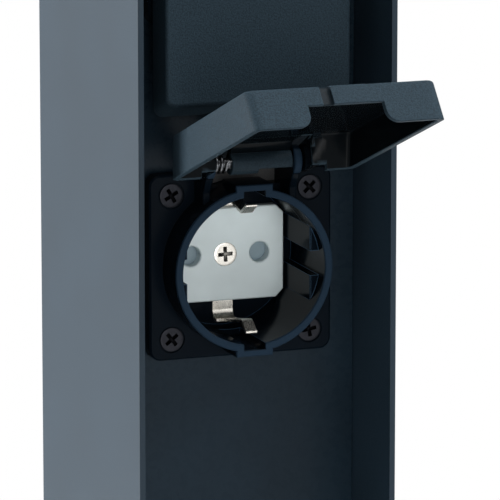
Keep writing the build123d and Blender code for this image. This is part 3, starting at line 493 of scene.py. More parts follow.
def finish(material, base, roughness, height, relief, edge_radius, **values):
    """Joins colour, roughness and bump in one shader and gives it to the surface."""
    soft = softened(material, edge_radius)
    bump_inputs = {"Height": height, "Distance": relief * MM, "Strength": 1.0, "Normal": soft}
    bump = add_node(material, "ShaderNodeBump", bump_inputs).outputs[0]
    inputs = {"Base Color": base, "Roughness": roughness, "Normal": bump}
    inputs.update({name.replace("_", " "): value for name, value in values.items()})
    shader = add_node(material, "ShaderNodeBsdfPrincipled", inputs).outputs[0]
    add_node(material, "ShaderNodeOutputMaterial", {"Surface": shader})
    return material


def object_place(material):
    """The Object coordinates."""
    return add_node(material, "ShaderNodeTexCoord").outputs["Object"]


def powder_coat(colours):
    """Fine-texture polyester powder coat, sprayed and baked on an aluminium profile.

    The grit of the coat breaks highlights into a fine satin. The coat is thin and speckled on sharp
    edges. The profile's front faces are darkened as painted shade.
    """
    material = new_material("powder_coated_aluminium")
    place = object_place(material)
    grit = noise(material, place, 0.28, detail=3.0, roughness=0.6)
    cloud = noise(material, place, 30.0)
    tone = toned(material, cloud, colours.coat, 0.93, 1.07)
    speck = ranged(material, noise(material, place, 0.45, detail=1.0), 0.0, 1.0, 0.45, 0.6)
    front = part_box("post_shell")[0].y
    depth = along_axis(material, place, "Y")
    # painted shade: the profile's front faces take 0.7 of the coat's colour
    front_face_shade = ranged(material, depth, 1.0, 0.0, front + 0.1 * MM, front + 0.5 * MM)
    tone = mixed(material, front_face_shade, tone, scaled(colours.coat, 0.7))
    worn = calculated(material, "MULTIPLY", edge_mask(material, 0.25), speck)
    base = mixed(material, worn, tone, scaled(colours.coat, 1.3))
    rough = ranged(material, grit, 0.38, 0.52)
    return finish(material, base, rough, grit, relief=0.012, edge_radius=0.25, Specular_IOR_Level=0.14)


def smooth_coat(colours):
    """Smooth powder coat on the panel's flat sheet.

    It lies a little wavy, so its soft reflections wander slightly.
    """
    material = new_material("smooth_coated_sheet")
    place = object_place(material)
    wave = noise(material, place, 2.5)
    cloud = noise(material, place, 25.0)
    base = toned(material, cloud, colours.panel, 0.9, 1.12)
    rough = ranged(material, wave, 0.24, 0.32)
    return finish(material, base, rough, wave, relief=0.01, edge_radius=0.2, Specular_IOR_Level=0.08)


def moulded_black(colours, name):
    """Black polyamide, injection moulded in a polished tool with a textured rim.

    The recess is polished and mirrors dark shapes, and a painted highlight lightens its thin
    edges. The flange's front is a little duller, and the collar's rim is satin and paler.
    """
    material = new_material(f"moulded_polyamide_{name}")
    place = object_place(material)
    shift = {"Vector": place, "Location": [-v for v in socket_origin(name)]}
    local = add_node(material, "ShaderNodeMapping", shift, vector_type="POINT").outputs[0]
    depth = along_axis(material, local, "Y")
    grit = noise(material, place, 0.3)
    rim_start, recess_radius = -10.1 * MM, 20.5 * MM
    rim = ranged(material, depth, 1.0, 0.0, rim_start - 0.3 * MM, rim_start + 0.3 * MM)
    behind = ranged(material, depth, 0.2, 0.0, 0.6 * MM, 1.0 * MM)
    before = ranged(material, depth, 0.0, 1.0, -0.6 * MM, -0.4 * MM)
    flange = calculated(material, "MULTIPLY", behind, before)
    satin = calculated(material, "MAXIMUM", rim, flange)
    polished = ranged(material, noise(material, place, 6.0), 0.1, 0.17)
    rough = ranged(material, satin, polished, 0.5, 0.0, 1.0)
    tone = toned(material, grit, colours.housing, 0.85, 1.2)
    base = mixed(material, rim, tone, scaled(colours.housing, 4.4))
    glossy = calculated(material, "SUBTRACT", 1.0, satin)
    # the recess's radius bounds the painted highlight below
    sideways = {0: local, 1: (1, 0, 1)}
    flat = add_node(material, "ShaderNodeVectorMath", sideways, operation="MULTIPLY").outputs[0]
    away = distance(material, flat)
    in_recess = ranged(material, away, 1.0, 0.0, recess_radius - 0.2 * MM, recess_radius + 0.2 * MM)
    painted_edge_highlight = calculated(material, "MULTIPLY", edge_mask(material, 0.35), glossy)
    painted_edge_highlight = calculated(material, "MULTIPLY", painted_edge_highlight, in_recess)
    # painted highlight: glossy edges within the recess are lightened to thirty times the housing's black
    base = mixed(material, painted_edge_highlight, base, scaled(colours.housing, 30.0))
    bumps = calculated(material, "MULTIPLY", grit, satin)
    gloss = {"IOR": 1.53, "Specular_IOR_Level": 0.025}
    return finish(material, base, rough, bumps, relief=0.01, edge_radius=0.2, **gloss)


def spark_eroded(colours):
    """Anthracite polypropylene, moulded in a spark-eroded tool outside and a polished one inside.

    The outside has a dull, even grain that catches the light in fine dots, drawn a little
    coarser than real so that it shows. The inside is glossy, and its colour is darkened to near
    black as painted shade under the open lid, with a painted highlight on its edges and corners.
    """
    material = new_material("moulded_polypropylene")
    place = object_place(material)
    inner = attribute(material, "polish_and_shade")
    grit = noise(material, place, 0.4, roughness=0.6)
    dots = toned(material, grit, colours.lid, 0.76, 1.32, 0.36, 0.64)
    # painted shade: where the mask is 1 (inside, lugs and arm) the colour drops to a tenth of the lid's; the mask
    # also sets the polish
    base = mixed(material, inner, dots, scaled(colours.lid, 0.1))
    # painted highlight: edges and corners inside are lightened to 0.8 of the lid's colour
    glint = calculated(material, "MULTIPLY", edge_mask(material, 0.4), inner)
    base = mixed(material, glint, base, scaled(colours.lid, 0.8))
    dull = ranged(material, grit, 0.5, 0.68)
    rough = ranged(material, inner, dull, 0.2, 0.0, 1.0)
    outside = calculated(material, "SUBTRACT", 1.0, inner)
    bumps = calculated(material, "MULTIPLY", grit, outside)
    gloss = {"IOR": 1.49, "Specular_IOR_Level": 0.045}
    return finish(material, base, rough, bumps, relief=0.1, edge_radius=0.15, **gloss)


def plain_moulding(name, base_colour, low_rough, high_rough, grain, relief, ior):
    """A moulded plastic or rubber: a faint cloud in its colour, a fine grain and an even gloss."""
    material = new_material(name)
    place = object_place(material)
    grit = noise(material, place, grain)
    cloud = noise(material, place, 9.0)
    base = toned(material, cloud, base_colour, 0.95, 1.04)
    rough = ranged(material, grit, low_rough, high_rough)
    return finish(material, base, rough, grit, relief=relief, edge_radius=0.15, IOR=ior)


def plated_metal(name, base_colour, low_rough, high_rough, scratch, relief):
    """A plated or drawn metal: long fine drawing marks, a cloud of tarnish, and dirt and painted shade in
    recesses.
    """
    material = new_material(name)
    place = object_place(material)
    stretch = {"Vector": place, "Scale": (1.0, 0.15, 0.15)}
    drawn = add_node(material, "ShaderNodeMapping", stretch, vector_type="POINT").outputs[0]
    marks = noise(material, drawn, scratch, detail=3.0)
    tarnish = noise(material, place, 1.6, detail=3.0)
    base = toned(material, tarnish, base_colour, 0.82, 1.05)
    # dirt and painted shade: the cross recesses are darkened to 0.12 of the metal's colour
    base = mixed(material, attribute(material, "dirt_and_shade_in_recess"), base, scaled(base_colour, 0.12))
    rough = ranged(material, marks, low_rough, high_rough)
    return finish(material, base, rough, marks, relief=relief, edge_radius=0.12, Metallic=1.0)


def striped_insulation(colours):
    """Green PVC insulation with a yellow stripe along the wire."""
    material = new_material("green_yellow_pvc")
    place = object_place(material)
    wire_spacing, stripe_half = 9.5 * MM, 0.5 * MM
    from_axis = calculated(material, "PINGPONG", along_axis(material, place, "X"), wire_spacing)
    stripe = ranged(material, from_axis, 1.0, 0.0, stripe_half, 1.2 * stripe_half)
    grit = noise(material, place, 0.5)
    base = mixed(material, stripe, colours.earth, colours.earth_stripe)
    rough = ranged(material, grit, 0.3, 0.42)
    return finish(material, base, rough, grit, relief=0.004, edge_radius=0.1, IOR=1.53)


def make_materials(colours):
    """Every finish of the post, by the record's material slot.

    A moulding's numbers are its roughness from and to, its grain and relief in millimetres and its
    refraction. A metal's are its roughness from and to, and its marks and relief in millimetres.
    """
    mouldings = {
        "grey_plastic": ("moulded_urea_resin", colours.face, 0.3, 0.38, 0.6, 0.003, 1.55),
        "shutter_plastic": ("moulded_acetal", colours.shutter, 0.32, 0.42, 0.5, 0.004, 1.48),
        "seal_rubber": ("pressed_rubber", colours.rubber, 0.6, 0.75, 0.4, 0.01, 1.52),
        "terminal_plastic": ("moulded_polycarbonate", colours.terminal, 0.35, 0.45, 0.5, 0.004, 1.58),
        "brown_insulation": ("brown_pvc", colours.live, 0.3, 0.42, 0.5, 0.004, 1.53),
        "blue_insulation": ("blue_pvc", colours.neutral, 0.3, 0.42, 0.5, 0.004, 1.53),
    }
    metals = {
        "nickel_plate": ("nickel_plated_bronze", colours.nickel, 0.24, 0.34, 0.12, 0.002),
        "black_screw": ("black_passivated_steel", colours.black_steel, 0.42, 0.55, 0.2, 0.004),
        "zinc_steel": ("zinc_plated_steel", colours.zinc, 0.3, 0.42, 0.25, 0.004),
        "spring_steel": ("drawn_spring_steel", colours.spring, 0.26, 0.36, 0.15, 0.003),
        "brass": ("plain_brass", colours.brass, 0.22, 0.34, 0.2, 0.003),
    }
    finishes = {
        "coated_aluminium": powder_coat(colours),
        "housing_plastic": moulded_black(colours, "lower"),
        "lid_plastic": spark_eroded(colours),
        "green_yellow_insulation": striped_insulation(colours),
    }
    finishes.update({slot: plain_moulding(*values) for slot, values in mouldings.items()})
    finishes.update({slot: plated_metal(*values) for slot, values in metals.items()})
    return finishes


def material_of(slot):
    """The finish of a slot, found through the table on the scene."""
    return bpy.data.materials[bpy.context.scene["finishes"][slot]]


def slant(sizes, y):
    """How far both ends have slanted out at a depth."""
    return sizes.flare * (y + sizes.front) / sizes.depth


def open_edge(sizes):
    """Depth of the open edge of the walls."""
    return -sizes.front + sizes.depth


def plate_inside(sizes):
    """Depth of the plate's inner face."""
    return -sizes.front + sizes.wall


def hinge_end_height(sizes, y):
    """Height of the hinge end's outside at a depth."""
    return sizes.hinge_end + slant(sizes, y)


def free_end_height(sizes, y):
    """Height of the free end's outside at a depth."""
    return -sizes.free_end - slant(sizes, y)


def groove_end(sizes):
    """X of the right side of the moulded groove."""
    return sizes.groove_left + sizes.groove_width


def in_groove(sizes, x):
    """Which columns lie in the moulded groove."""
    return (x > sizes.groove_left) & (x < groove_end(sizes))


def lid_columns(sizes):
    """X of the columns along an end wall, with a pair of columns at each step of the wall.

    At each side of the gap for the hinge a third column lies between the pair.
    """
    straight = sizes.width / 2 - sizes.corner
    half_notch = sizes.notch_width / 2
    gap = bpy.context.scene.hinge_sizes.lug_inner
    both_sides = [sign * x for x in (half_notch, sizes.trim_half, gap) for sign in (-1, 1)]
    steps = np.array([sizes.groove_left, groove_end(sizes), sizes.pad_right] + both_sides)
    arc = half_notch + sizes.notch_rounding * (1 - np.cos(quarter_turn(7)))
    even = np.linspace(-straight, straight, 28)
    columns = np.concatenate([steps - HALF_PAIR, steps + HALF_PAIR, arc, -arc, even, [-gap, gap]])
    return np.unique(np.round(columns, 8))


def lid_rows(sizes):
    """The lid's section, row by row: inset from the outline, depth, drop below the open edge, and side.

    The side is plate, outside, edge or inside, which tells what is shifted and what is polished.
    Each quarter circle is run through as one minus the sine and one minus the cosine of its angle.
    The polished inside starts just past the open edge.
    """
    front, back, floor = -sizes.front, open_edge(sizes), plate_inside(sizes)
    bevel, wall, edge, fillet = sizes.bevel, sizes.wall, sizes.edge, sizes.inner_fillet
    turn = quarter_turn(6)
    falling, rising = 1 - np.sin(turn), 1 - np.cos(turn)
    rows = [(sizes.plate_inset, front, 0.0, "plate"), (bevel * 1.2, front, 0.0, "outside")]
    rows += [(bevel * a, front + bevel * b, 0.0, "outside") for a, b in zip(falling, rising)]
    rows += [(0.0, y, edge, "outside") for y in np.linspace(front + bevel, back - edge, 9)[1:]]
    rows += [(edge * b, back - edge * a, edge * a, "outside") for a, b in zip(falling[1:], rising[1:])]
    rows += [(wall - edge * a, back - edge * b, edge * b, "edge") for a, b in zip(falling, rising)]
    rows += [(wall, back - 1.1 * edge, edge, "inside")]
    rows += [(wall, y, edge, "inside") for y in np.linspace(back - edge, floor + fillet, 8)[1:]]
    rows += [(wall + fillet * b, floor + fillet * a, 0.0, "inside") for a, b in zip(falling[1:], rising[1:])]
    return rows + [(wall + 2 * fillet, floor, 0.0, "inside")]


def lid_grid(sizes):
    """The lid's shell as a grid: its outline carried from the plate over the walls to its inside.

    Columns run once round the outline, a rounded rectangle. Rows run from the plate's front over
    the rounded front edge, down the outer wall, over the rounded open edge and up the inner wall
    to the plate's inside. The depth is held to the open edge's height above each column, which
    makes the cable notch and the trimmed wall. Both ends slant out with the depth. The groove and
    the pad shift the outer rows of the free end. Returns the points and how polished and darkened
    each is: 1 inside, 0 outside and on the open edge, between in the groove. Inside, that
    darkening is painted shade under the open lid.
    """
    end_x = lid_columns(sizes)
    grid, polish_and_shade = [], []
    for inset, y, drop, side in lid_rows(sizes):
        row = lid_row(sizes, end_x, inset, y, drop, side == "outside")
        # inside rows get the full mask: their polish and painted shade
        polished = np.full(len(row), float(side == "inside"))
        if side == "outside":
            polished[: len(end_x)][in_groove(sizes, end_x)] = sizes.groove_polish
        grid.append(row)
        polish_and_shade.append(polished)
    return np.array(grid), np.array(polish_and_shade)


def lid_row(sizes, end_x, inset, y, drop, outside):
    """One row of the lid's grid: two end walls, two side walls and four round corners at one depth."""
    corner_turn = quarter_turn(9)[1:-1]
    side_share = np.linspace(0, 1, 15)[1:-1]
    half = sizes.width / 2 - inset
    radius = max(sizes.corner - inset, LEAST_CORNER)
    straight = half - radius
    end_x = end_x * straight / (sizes.width / 2 - sizes.corner)
    low_y = np.minimum(y, notch_edge(sizes, end_x) - drop)
    low_z = free_end_height(sizes, low_y) + inset
    if outside:
        low_z = low_z - end_shift(sizes, end_x)
    high_y, high_z = hinge_wall(sizes, end_x, inset, y, drop)
    corner_low = free_end_height(sizes, y) + inset + radius
    corner_high = hinge_end_height(sizes, y) - inset - radius
    side_z = corner_low + (corner_high - corner_low) * side_share
    cos, sin = radius * np.cos(corner_turn), radius * np.sin(corner_turn)

    def rows_at(x, z, depth):
        return np.column_stack([x, np.broadcast_to(depth, x.shape), z])

    parts = [
        rows_at(end_x, low_z, low_y),
        rows_at(straight + sin, corner_low - cos, y),
        rows_at(np.full(side_z.shape, half), side_z, y),
        rows_at(straight + cos, corner_high + sin, y),
        rows_at(end_x[::-1], high_z[::-1], high_y[::-1]),
        rows_at(-straight - sin, corner_high + cos, y),
        rows_at(np.full(side_z.shape, -half), side_z[::-1], y),
        rows_at(-straight - cos, corner_low - sin, y),
    ]
    return np.concatenate(parts)


def hinge_wall(sizes, x, inset, y, drop):
    """Depth and height of the hinge-end wall: trimmed in the middle, open at the hinge, round the collar.

    Where the wall's outside would lie in the collar's room, it ends at the collar's plane. Behind
    that plane its inside follows the room's circle, the root of radius squared less x squared. In
    the gap for the hinge only the plate is left, and the column at its side ends at the plane.
    """
    back = open_edge(sizes)
    y = np.minimum(y, np.where(np.abs(x) < sizes.trim_half, back - sizes.trim_depth, back) - drop)
    near_collar = np.hypot(x, hinge_end_height(sizes, y)) < sizes.collar_room
    y = np.where(near_collar, np.minimum(y, -sizes.collar_plane), y)
    z = hinge_end_height(sizes, y) - inset
    beside_collar = np.sqrt(np.maximum(sizes.collar_room**2 - x**2, 0.0))
    z = np.where(y > -sizes.collar_plane, np.maximum(z, beside_collar), z)
    gap = bpy.context.scene.hinge_sizes.lug_inner
    at_gap = np.abs(np.abs(x) - gap) < HALF_PAIR / 3
    in_gap = (np.abs(x) < gap) & ~at_gap
    y = np.where(at_gap, np.minimum(y, -sizes.collar_plane), y)
    y = np.where(in_gap, np.minimum(y, plate_inside(sizes) - drop), y)
    return y, np.where(in_gap, hinge_end_height(sizes, y) - inset, z)


def notch_edge(sizes, x):
    """Depth of the open edge along the free end, with the cable notch and its rounded sides."""
    back = open_edge(sizes)
    half = sizes.notch_width / 2
    rounding = sizes.notch_rounding
    along = np.clip(half + rounding - np.abs(x), 0.0, rounding)
    rounded = back - rounding + np.sqrt(rounding**2 - along**2)
    return np.where(np.abs(x) < half, back - sizes.notch_height, rounded)


def end_shift(sizes, x):
    """How far the free end's outside stands out at each X: in at the groove, out at the pad."""
    on_pad = (x > groove_end(sizes)) & (x < sizes.pad_right)
    return np.where(in_groove(sizes, x), -sizes.groove_depth, np.where(on_pad, sizes.pad_height, 0.0))


def around_axis(hinge, radius, degrees):
    """Y and Z of points round the hinge axis, with the angle from +Y towards +Z."""
    turn = np.radians(degrees)
    return np.stack([-hinge.axis_out + radius * np.cos(turn), hinge.axis_up + radius * np.sin(turn)], axis=-1)


def plate_across(outline, low, high, edge):
    """A rounded plate over an outline in Y and Z, from one X to another."""
    return rounded_plate(outline, low, high, edge)[..., [2, 0, 1]]


def lug_grid(sizes, hinge, side):
    """A lug: its outline in Y and Z, a stem from the wall and a round eye, made a rounded plate.

    Behind the collar's plane the stem keeps to the outside of the collar's room.
    """
    eye = around_axis(hinge, hinge.lug_radius, np.linspace(0, math.degrees(hinge.lug_end), 16))
    foot = sizes.hinge_end - sizes.wall
    above_collar = math.sqrt(sizes.collar_room**2 - hinge.lug_inner**2)
    stem = [
        [-sizes.front + sizes.bevel, foot],
        [-sizes.collar_plane, foot],
        [-sizes.collar_plane, above_collar],
        [-hinge.axis_out + hinge.lug_radius, max(above_collar, sizes.hinge_end + sizes.flare / 2)],
    ]
    outline = np.concatenate([np.array(stem), eye])
    low = hinge.lug_inner if side > 0 else -hinge.lug_inner - hinge.lug_thickness
    return plate_across(outline, low, low + hinge.lug_thickness, hinge.edge)


def arm_grid(sizes, hinge):
    """The arm from the plate to the barrel: its outline in Y and Z, made a rounded plate."""
    inner = plate_inside(sizes)
    reach = hinge.barrel_radius * hinge.arm_reach
    outline = np.array(
        [
            [-sizes.front, sizes.hinge_end - sizes.wall],
            [inner, sizes.hinge_end - sizes.wall],
            [inner, hinge.knee],
            around_axis(hinge, reach, math.degrees(hinge.arm_inner)),
            around_axis(hinge, reach, math.degrees(hinge.arm_outer)),
            [-sizes.front, hinge.knee + sizes.wall],
        ]
    )
    return plate_across(outline, hinge.barrel_left, hinge.barrel_right, hinge.edge)


def bar_ends(left, right, edge, insets):
    """Rows at both ends of a round bar, as x and inset: a flat face and a quarter circle at its rim."""
    rim = [(edge * (1 - math.cos(a)), edge * (1 - math.sin(a))) for a in quarter_turn(5)]
    start = [(left, inset) for inset in insets] + [(left + shift, inset) for shift, inset in rim]
    end = [(right - shift, inset) for shift, inset in rim[::-1]] + [(right, inset) for inset in insets[::-1]]
    return start, end


def bar_grid(hinge, rows, sides, radius_at):
    """A bar round the hinge axis: a circle carried along X, its radius less each row's inset."""
    turn, least_radius = full_turn(sides), 0.05 * MM
    grid = []
    for x, inset in rows:
        radius = np.maximum(radius_at(x, turn) - inset, least_radius)
        grid.append(np.column_stack([np.full(sides, x), around_axis(hinge, radius, np.degrees(turn))]))
    return np.array(grid)


def barrel_grid(hinge, travel):
    """The barrel: a round bar, cut flat over part of its length.

    Its radius is the smaller of the barrel's radius and, past the relief's start, the relief's
    distance over the cosine of the angle to the flat's middle. The flat is level on a lid that is
    turned open by its whole travel.
    """
    flat_middle = travel - math.pi / 2
    step, least_cosine = 0.02 * MM, 0.05

    def radius_at(x, turn):
        cosine = np.cos(turn - flat_middle)
        flat = np.where(cosine > least_cosine, hinge.relief_drop / np.maximum(cosine, least_cosine), np.inf)
        round_part = np.full(turn.shape, hinge.barrel_radius)
        return np.minimum(round_part, flat) if x > hinge.relief_left else round_part

    insets = [hinge.barrel_radius * 0.95, hinge.edge * FLAT_FACE]
    start, end = bar_ends(hinge.barrel_left, hinge.barrel_right, hinge.edge, insets)
    middle = [(x, 0.0) for x in (0.0, hinge.relief_left - step, hinge.relief_left + step)]
    return bar_grid(hinge, start + middle + end, sides=72, radius_at=radius_at)


def pin_grid(hinge):
    """The hinge pin: a round bar with a rounded edge at each end."""
    half = hinge.pin_length / 2
    start, end = bar_ends(-half, half, hinge.edge, [hinge.edge * FLAT_FACE])
    return bar_grid(hinge, start + end, sides=48, radius_at=lambda x, turn: hinge.pin_radius)


def placed(points, name, turn):
    """Points of a socket's frame, turned about the hinge and moved to the socket's place."""
    hinge = bpy.context.scene.hinge_sizes
    turned = turned_about_x(points, -hinge.axis_out, hinge.axis_up, turn)
    return turned + socket_origin(name)


def recess_face(head, depth, turn, sizes):
    """The head's face with its cross recess: points, the angles of its outer row, and the recess's mask.

    Rows are radii. Columns are angles, drawn together at the sides of the cross's arms: at each
    radius the sides lie at the arc sine of the arm's half width over the radius. Inside the arms
    the depth falls from the middle to their ends.
    """
    half_width, reach, slope = head * sizes.width / 2, head * sizes.reach, sizes.slope
    hub_start, hub_end = 0.4 * half_width, 1.5 * half_width
    rings = [
        [LEAST_RADIUS],
        np.linspace(hub_start, hub_end, 4),
        np.linspace(hub_end, reach - slope, 6)[1:],
        [reach + slope],
        np.linspace(reach + slope, head - sizes.edge, 3)[1:],
    ]
    radii = np.concatenate(rings)
    eighth, largest_sine = math.pi / 4, 0.7
    inner, outer = [
        np.minimum(np.arcsin(np.minimum((half_width + shift) / radii, largest_sine)), eighth * most)
        for shift, most in ((-slope / 2, 0.98), (slope / 2, 0.99))
    ]
    arm_columns, flank = np.array([0.0, 0.5, 1.0]), np.linspace(0, 1, 5)
    inside_part = inner[:, None] * arm_columns
    outside_part = outer[:, None] + (eighth - outer)[:, None] * flank[:-1]
    half = np.concatenate([inside_part, outside_part, np.full((len(radii), 1), eighth)], axis=1)
    arm = np.concatenate([np.ones(len(arm_columns)), np.zeros(len(flank))])
    quarter = np.concatenate([half, (2 * eighth - half[:, ::-1])[:, 1:-1]], axis=1)
    quarter_arm = np.concatenate([arm, arm[::-1][1:-1]])
    angles = np.concatenate([quarter + k * math.pi / 2 for k in range(4)], axis=1) + turn
    in_hub, in_reach = radii[:, None] < half_width * sizes.hub, radii[:, None] < reach
    recess = np.where(in_reach & (in_hub | (np.tile(quarter_arm, 4) > 0)), 1.0, 0.0)
    fall_power = 1.5
    fall = 1 - sizes.rise * np.clip(radii / reach, 0, 1)[:, None] ** fall_power
    face = [radii[:, None] * np.cos(angles), radii[:, None] * np.sin(angles), -depth * recess * fall]
    return np.stack(face, axis=-1), angles[-1], recess


def screw_body(kind, angles, sizes):
    """The screw below its head's face, with columns at the given angles: rim, cone, thread and tip.

    The thread's depth is a triangle wave of the height over the pitch, less the angle's share of a
    turn.
    """
    head, shank, head_height, whole = kind
    edge, pitch, steps_per_pitch = sizes.edge, sizes.thread_pitch, 6
    tip_height, tip_round, tip_radius = 0.6 * shank, 0.2 * shank, 0.55 * shank
    thread_top, thread_end = -head_height - 0.3 * pitch, -whole + tip_height
    count = max(2, int((whole + thread_top) / pitch * steps_per_pitch))
    rows = [(head - edge * (1 - math.sin(a)), -edge * (1 - math.cos(a)), 0.0) for a in quarter_turn(4)[1:]]
    rows += [(shank, -head_height, 0.0)]
    rows += [(shank, level, 1.0) for level in np.linspace(thread_top, thread_end, count)]
    rows += [(tip_radius, -whole + tip_round, 0.0), (LEAST_RADIUS, -whole, 0.0)]
    radius, level, threaded = [column[:, None] for column in np.array(rows).T]
    phase = (level / pitch - angles / (2 * math.pi)) % 1.0
    radius = radius - threaded * sizes.thread_depth * np.abs(2 * phase - 1)
    level = np.broadcast_to(level, radius.shape)
    return np.stack([radius * np.cos(angles), radius * np.sin(angles), level], axis=-1)


def screw_grid(kind, turn, sizes):
    """A countersunk screw along -Z with its head's face at 0, as one grid from recess to tip."""
    face, angles, recess = recess_face(kind[0], kind[2] * sizes.depth, turn, sizes)
    body = screw_body(kind, angles, sizes)
    return np.concatenate([face, body]), np.concatenate([recess, np.zeros(body.shape[:2])])


def facing(points, way):
    """Turns a piece made along -Z so that its head faces front, up or down."""
    x, y, z = points[..., 0], points[..., 1], points[..., 2]
    turned = {"front": (x, -z, y), "up": (x, y, z), "down": (x, -y, -z)}
    return np.stack(turned[way], axis=-1)


def box_corners(node, inset, way):
    """The four screw places of a node in the corners of its box, in the plane of the heads."""
    low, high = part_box(node)
    across = (low.x + inset, high.x - inset)
    if way == "front":
        return [(x, low.y, z) for x in across for z in (low.z + inset, high.z - inset)]
    level = high.z if way == "up" else low.z
    return [(x, y, level) for x in across for y in (low.y + inset, high.y - inset)]


def add_screws(node, kind, turns, way, slot):
    """All screws of one node as one piece: one screw for each turn of the recess, in degrees."""
    sizes = bpy.context.scene.screw_sizes
    surfaces, masks = [], []
    for place, turn in zip(box_corners(node, kind[0], way), turns):
        # the recess mask carries the finish's dirt and painted shade in the cross recess
        grid, dirt_and_shade_in_recess = screw_grid(kind, math.radians(turn), sizes)
        surfaces.append(grid_surface(facing(grid, way) + np.array(place)))
        masks.append(dirt_and_shade_in_recess.reshape(-1))
    build_piece(
        f"{node}_turned", surfaces, "post", slot, [node], "dirt_and_shade_in_recess", masks, sharp_degrees=40.0
    )


def spring_path(hinge, open_angle, first_phase, last_phase):
    """Points of the coil between two phases in degrees, wound from the left end to the right."""
    turns = hinge.turns + open_angle / (2 * math.pi)
    count = max(12, int(abs(first_phase - last_phase) / COIL_STEP))
    phases = np.linspace(first_phase, last_phase, count)
    wound = (math.degrees(hinge.coil_start) - phases) / (360.0 * turns)
    yz = around_axis(hinge, hinge.coil_radius, phases)
    x = hinge.coil_left + (hinge.coil_right - hinge.coil_left) * wound
    return np.column_stack([x, yz])


def spring_leg(hinge):
    """The leg: up from the flange's notch, round a quarter bend and forward to the coil's start."""
    level = hinge.axis_up - hinge.coil_radius
    turn = quarter_turn(9)
    rise = np.linspace(hinge.leg_foot, level - hinge.leg_bend, 6)[:-1]
    bend_y = hinge.leg_back - hinge.leg_bend * (1 - np.cos(turn))
    bend_z = level - hinge.leg_bend * (1 - np.sin(turn))
    run = np.linspace(hinge.leg_back - hinge.leg_bend, -hinge.axis_out, 8)[1:-1]
    y = np.concatenate([np.full(len(rise), hinge.leg_back), bend_y, run])
    z = np.concatenate([rise, bend_z, np.full(len(run), level)])
    return np.column_stack([np.full(len(y), hinge.coil_left), y, z])


def spring_tang(hinge, end_phase):
    """The bend from the coil's end into the barrel, and the straight tang in it."""
    end = around_axis(hinge, hinge.coil_radius, end_phase)
    end_angle = math.radians(end_phase)
    way = np.array([math.sin(end_angle), -math.cos(end_angle)])
    turn = quarter_turn(8)[1:]
    bend_yz = end + np.outer(np.sin(turn), way) * hinge.bend_radius
    bend_x = hinge.coil_right + hinge.bend_radius * (1 - np.cos(turn))
    tang_x = hinge.barrel_left + hinge.tang_length
    tang = np.column_stack([[bend_x[-1] + 0.5 * (tang_x - bend_x[-1]), tang_x], np.tile(bend_yz[-1], (2, 1))])
    return np.concatenate([np.column_stack([bend_x, bend_yz]), tang])


class SOCKETPOST_OT_finishes(bpy.types.Operator):
    """Makes the finishes and gives each CAD node the finish of its slot"""

    bl_idname = "object.socketpost_finishes"
    bl_label = "Finishes"

    def execute(self, context):
        materials = make_materials(context.scene.finish_colours)
        context.scene["finishes"] = {slot: material.name for slot, material in materials.items()}
        upper_black = moulded_black(context.scene.finish_colours, "upper")
        panel_coat = smooth_coat(context.scene.finish_colours)
        for part in frame["record"]["subparts"]:
            node = frame["nodes"][part["node"]]
            material = materials[part["material_slot"]]
            if part["material_slot"] == "housing_plastic" and part["node"].startswith("upper"):
                material = upper_black
            if part["node"] == "socket_panel":
                material = panel_coat
            for place in node.material_slots:
                place.material = material
        return {"FINISHED"}


class SOCKETPOST_OT_lids(bpy.types.Operator):
    """Adds the two lids with their walls, lugs, arms and barrels"""

    bl_idname = "object.socketpost_lids"
    bl_label = "Lids"

    def execute(self, context):
        sizes, hinge = context.scene.lid_sizes, context.scene.hinge_sizes
        for name in SOCKETS:
            turn = -lid_rest_angle(name)
            shell, inside = lid_grid(sizes)
            grids = [(shell, inside)]
            # painted shade: lugs and arm get the mask's full value, which darkens them like the lid's inside
            for grid in (lug_grid(sizes, hinge, -1), lug_grid(sizes, hinge, 1), arm_grid(sizes, hinge)):
                grids.append((grid, np.ones(grid.shape[:2])))
            barrel = barrel_grid(hinge, lid_travel(name))
            grids.append((barrel, np.full(barrel.shape[:2], hinge.barrel_polish)))
            surfaces = [grid_surface(placed(grid, name, turn)) for grid, mask in grids]
            masks = [mask.reshape(-1) for grid, mask in grids]
            build_piece(
                f"{name}_lid_shell", surfaces, f"{name}_lid", "lid_plastic", [f"{name}_lid"], "polish_and_shade", masks
            )
        return {"FINISHED"}


class SOCKETPOST_OT_screws(bpy.types.Operator):
    """Adds the cross-recess screws"""

    bl_idname = "object.socketpost_screws"
    bl_label = "Screws"

    def execute(self, context):
        sizes = context.scene.screw_sizes
        turns = {"lower": (38, 30, 10, 44), "upper": (22, 5, 61, 33)}
        for name in SOCKETS:
            add_screws(f"{name}_flange_screws", sizes.flange, turns[name], "front", "black_screw")
            add_screws(f"{name}_centre_screw", sizes.centre, (3,), "front", "nickel_plate")
        steps = (0, 25, 50, 75)
        add_screws("panel_screws", sizes.panel, steps, "front", "zinc_steel")
        add_screws("cap_screws", sizes.plate, steps, "up", "zinc_steel")
        add_screws("base_screws", sizes.plate, steps, "down", "zinc_steel")
        return {"FINISHED"}


